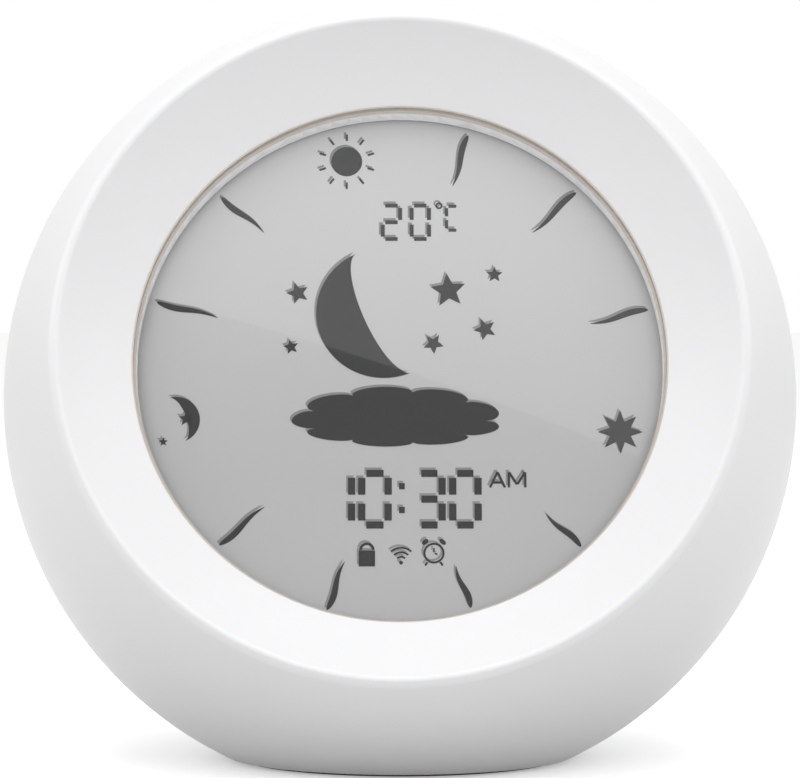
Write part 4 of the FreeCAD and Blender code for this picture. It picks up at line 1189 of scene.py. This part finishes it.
class CLOCK_OT_stage(bpy.types.Operator):
    """Set up the floor, the light and the camera"""

    bl_idname = "clock.stage"
    bl_label = "Stage"

    def execute(self, context):
        scene = context.scene
        stage = scene.clock_stage
        bm = bmesh.new()
        bmesh.ops.create_grid(bm, x_segments=8, y_segments=8, size=floor_half_width)
        mesh = bpy.data.meshes.new("floor")
        bm.to_mesh(mesh)
        bm.free()
        mesh.materials.append(floor_material())
        floor = bpy.data.objects.new("floor", mesh)
        scene.collection.objects.link(floor)
        floor.location.z = -floor_drop

        world = bpy.data.worlds.new("Room")
        scene.world = world
        world.use_nodes = True
        tree = world.node_tree
        level = tree.nodes.new("ShaderNodeMapRange")
        level.inputs["To Min"].default_value = stage.fill_strength
        level.inputs["To Max"].default_value = 1.0
        tree.links.new(camera_share(tree), level.inputs["Value"])
        tree.links.new(level.outputs["Result"], tree.nodes["Background"].inputs["Strength"])
        tree.nodes["Background"].inputs["Color"].default_value = (1.0, 1.0, 1.0, 1.0)

        powers = {
            "Top light": stage.top_power,
            "Left light": stage.side_power,
            "Right light": stage.side_power,
            "Front light": stage.front_power,
            "Window light": stage.window_power,
        }
        for name, (place, size) in lamp_places.items():
            roll = window_lamp_roll if name == "Window light" else 0.0
            add_lamp(name, place, centre, size, powers[name], roll)

        camera = bpy.data.cameras.new("Camera")
        camera.lens = stage.camera_lens
        camera.sensor_width = 36.0
        camera.sensor_fit = "HORIZONTAL"
        camera.clip_start = 0.01
        camera.clip_end = 20.0
        holder = bpy.data.objects.new("Camera", camera)
        scene.collection.objects.link(holder)
        away = Vector((0.0, -math.cos(stage.camera_elevation), math.sin(stage.camera_elevation)))
        holder.location = centre + away * stage.camera_distance
        aim = centre + Vector((0.0, 0.0, camera_aim_rise))
        holder.rotation_euler = (aim - holder.location).to_track_quat("-Z", "Y").to_euler()
        scene.camera = holder
        scene.view_settings.view_transform = "Standard"
        return {"FINISHED"}


class CLOCK_PT_panel(bpy.types.Panel):
    """Buttons and settings for the clock."""

    bl_idname = "CLOCK_PT_panel"
    bl_label = "Round Bedside Clock"
    bl_space_type = "VIEW_3D"
    bl_region_type = "UI"
    bl_category = "Clock"

    def draw(self, context):
        layout = self.layout
        for settings in (context.scene.clock_case, context.scene.clock_display, context.scene.clock_stage):
            box = layout.box()
            for name in settings.__annotations__:
                box.prop(settings, name)
        for operator in operators:
            layout.operator(operator.bl_idname)


operators = (
    CLOCK_OT_case,
    CLOCK_OT_window,
    CLOCK_OT_display,
    CLOCK_OT_symbols,
    CLOCK_OT_keys,
    CLOCK_OT_base,
    CLOCK_OT_insides,
    CLOCK_OT_stage,
)
setting_groups = (ClockCaseSettings, ClockDisplaySettings, ClockStageSettings)


def register():
    """Adds the settings, the operators and the panel."""
    for group in setting_groups + operators + (CLOCK_PT_panel,):
        bpy.utils.register_class(group)
    bpy.types.Scene.clock_case = PointerProperty(type=ClockCaseSettings)
    bpy.types.Scene.clock_display = PointerProperty(type=ClockDisplaySettings)
    bpy.types.Scene.clock_stage = PointerProperty(type=ClockStageSettings)


def unregister():
    """Takes them all away again."""
    del bpy.types.Scene.clock_stage
    del bpy.types.Scene.clock_display
    del bpy.types.Scene.clock_case
    for group in reversed(setting_groups + operators + (CLOCK_PT_panel,)):
        bpy.utils.unregister_class(group)


def main():
    """Builds the clock and its stage."""
    register()
    bpy.ops.clock.case()
    bpy.ops.clock.window()
    bpy.ops.clock.display()
    bpy.ops.clock.symbols()
    bpy.ops.clock.keys()
    bpy.ops.clock.base()
    bpy.ops.clock.insides()
    bpy.ops.clock.stage()


if __name__ == "__main__":
    main()
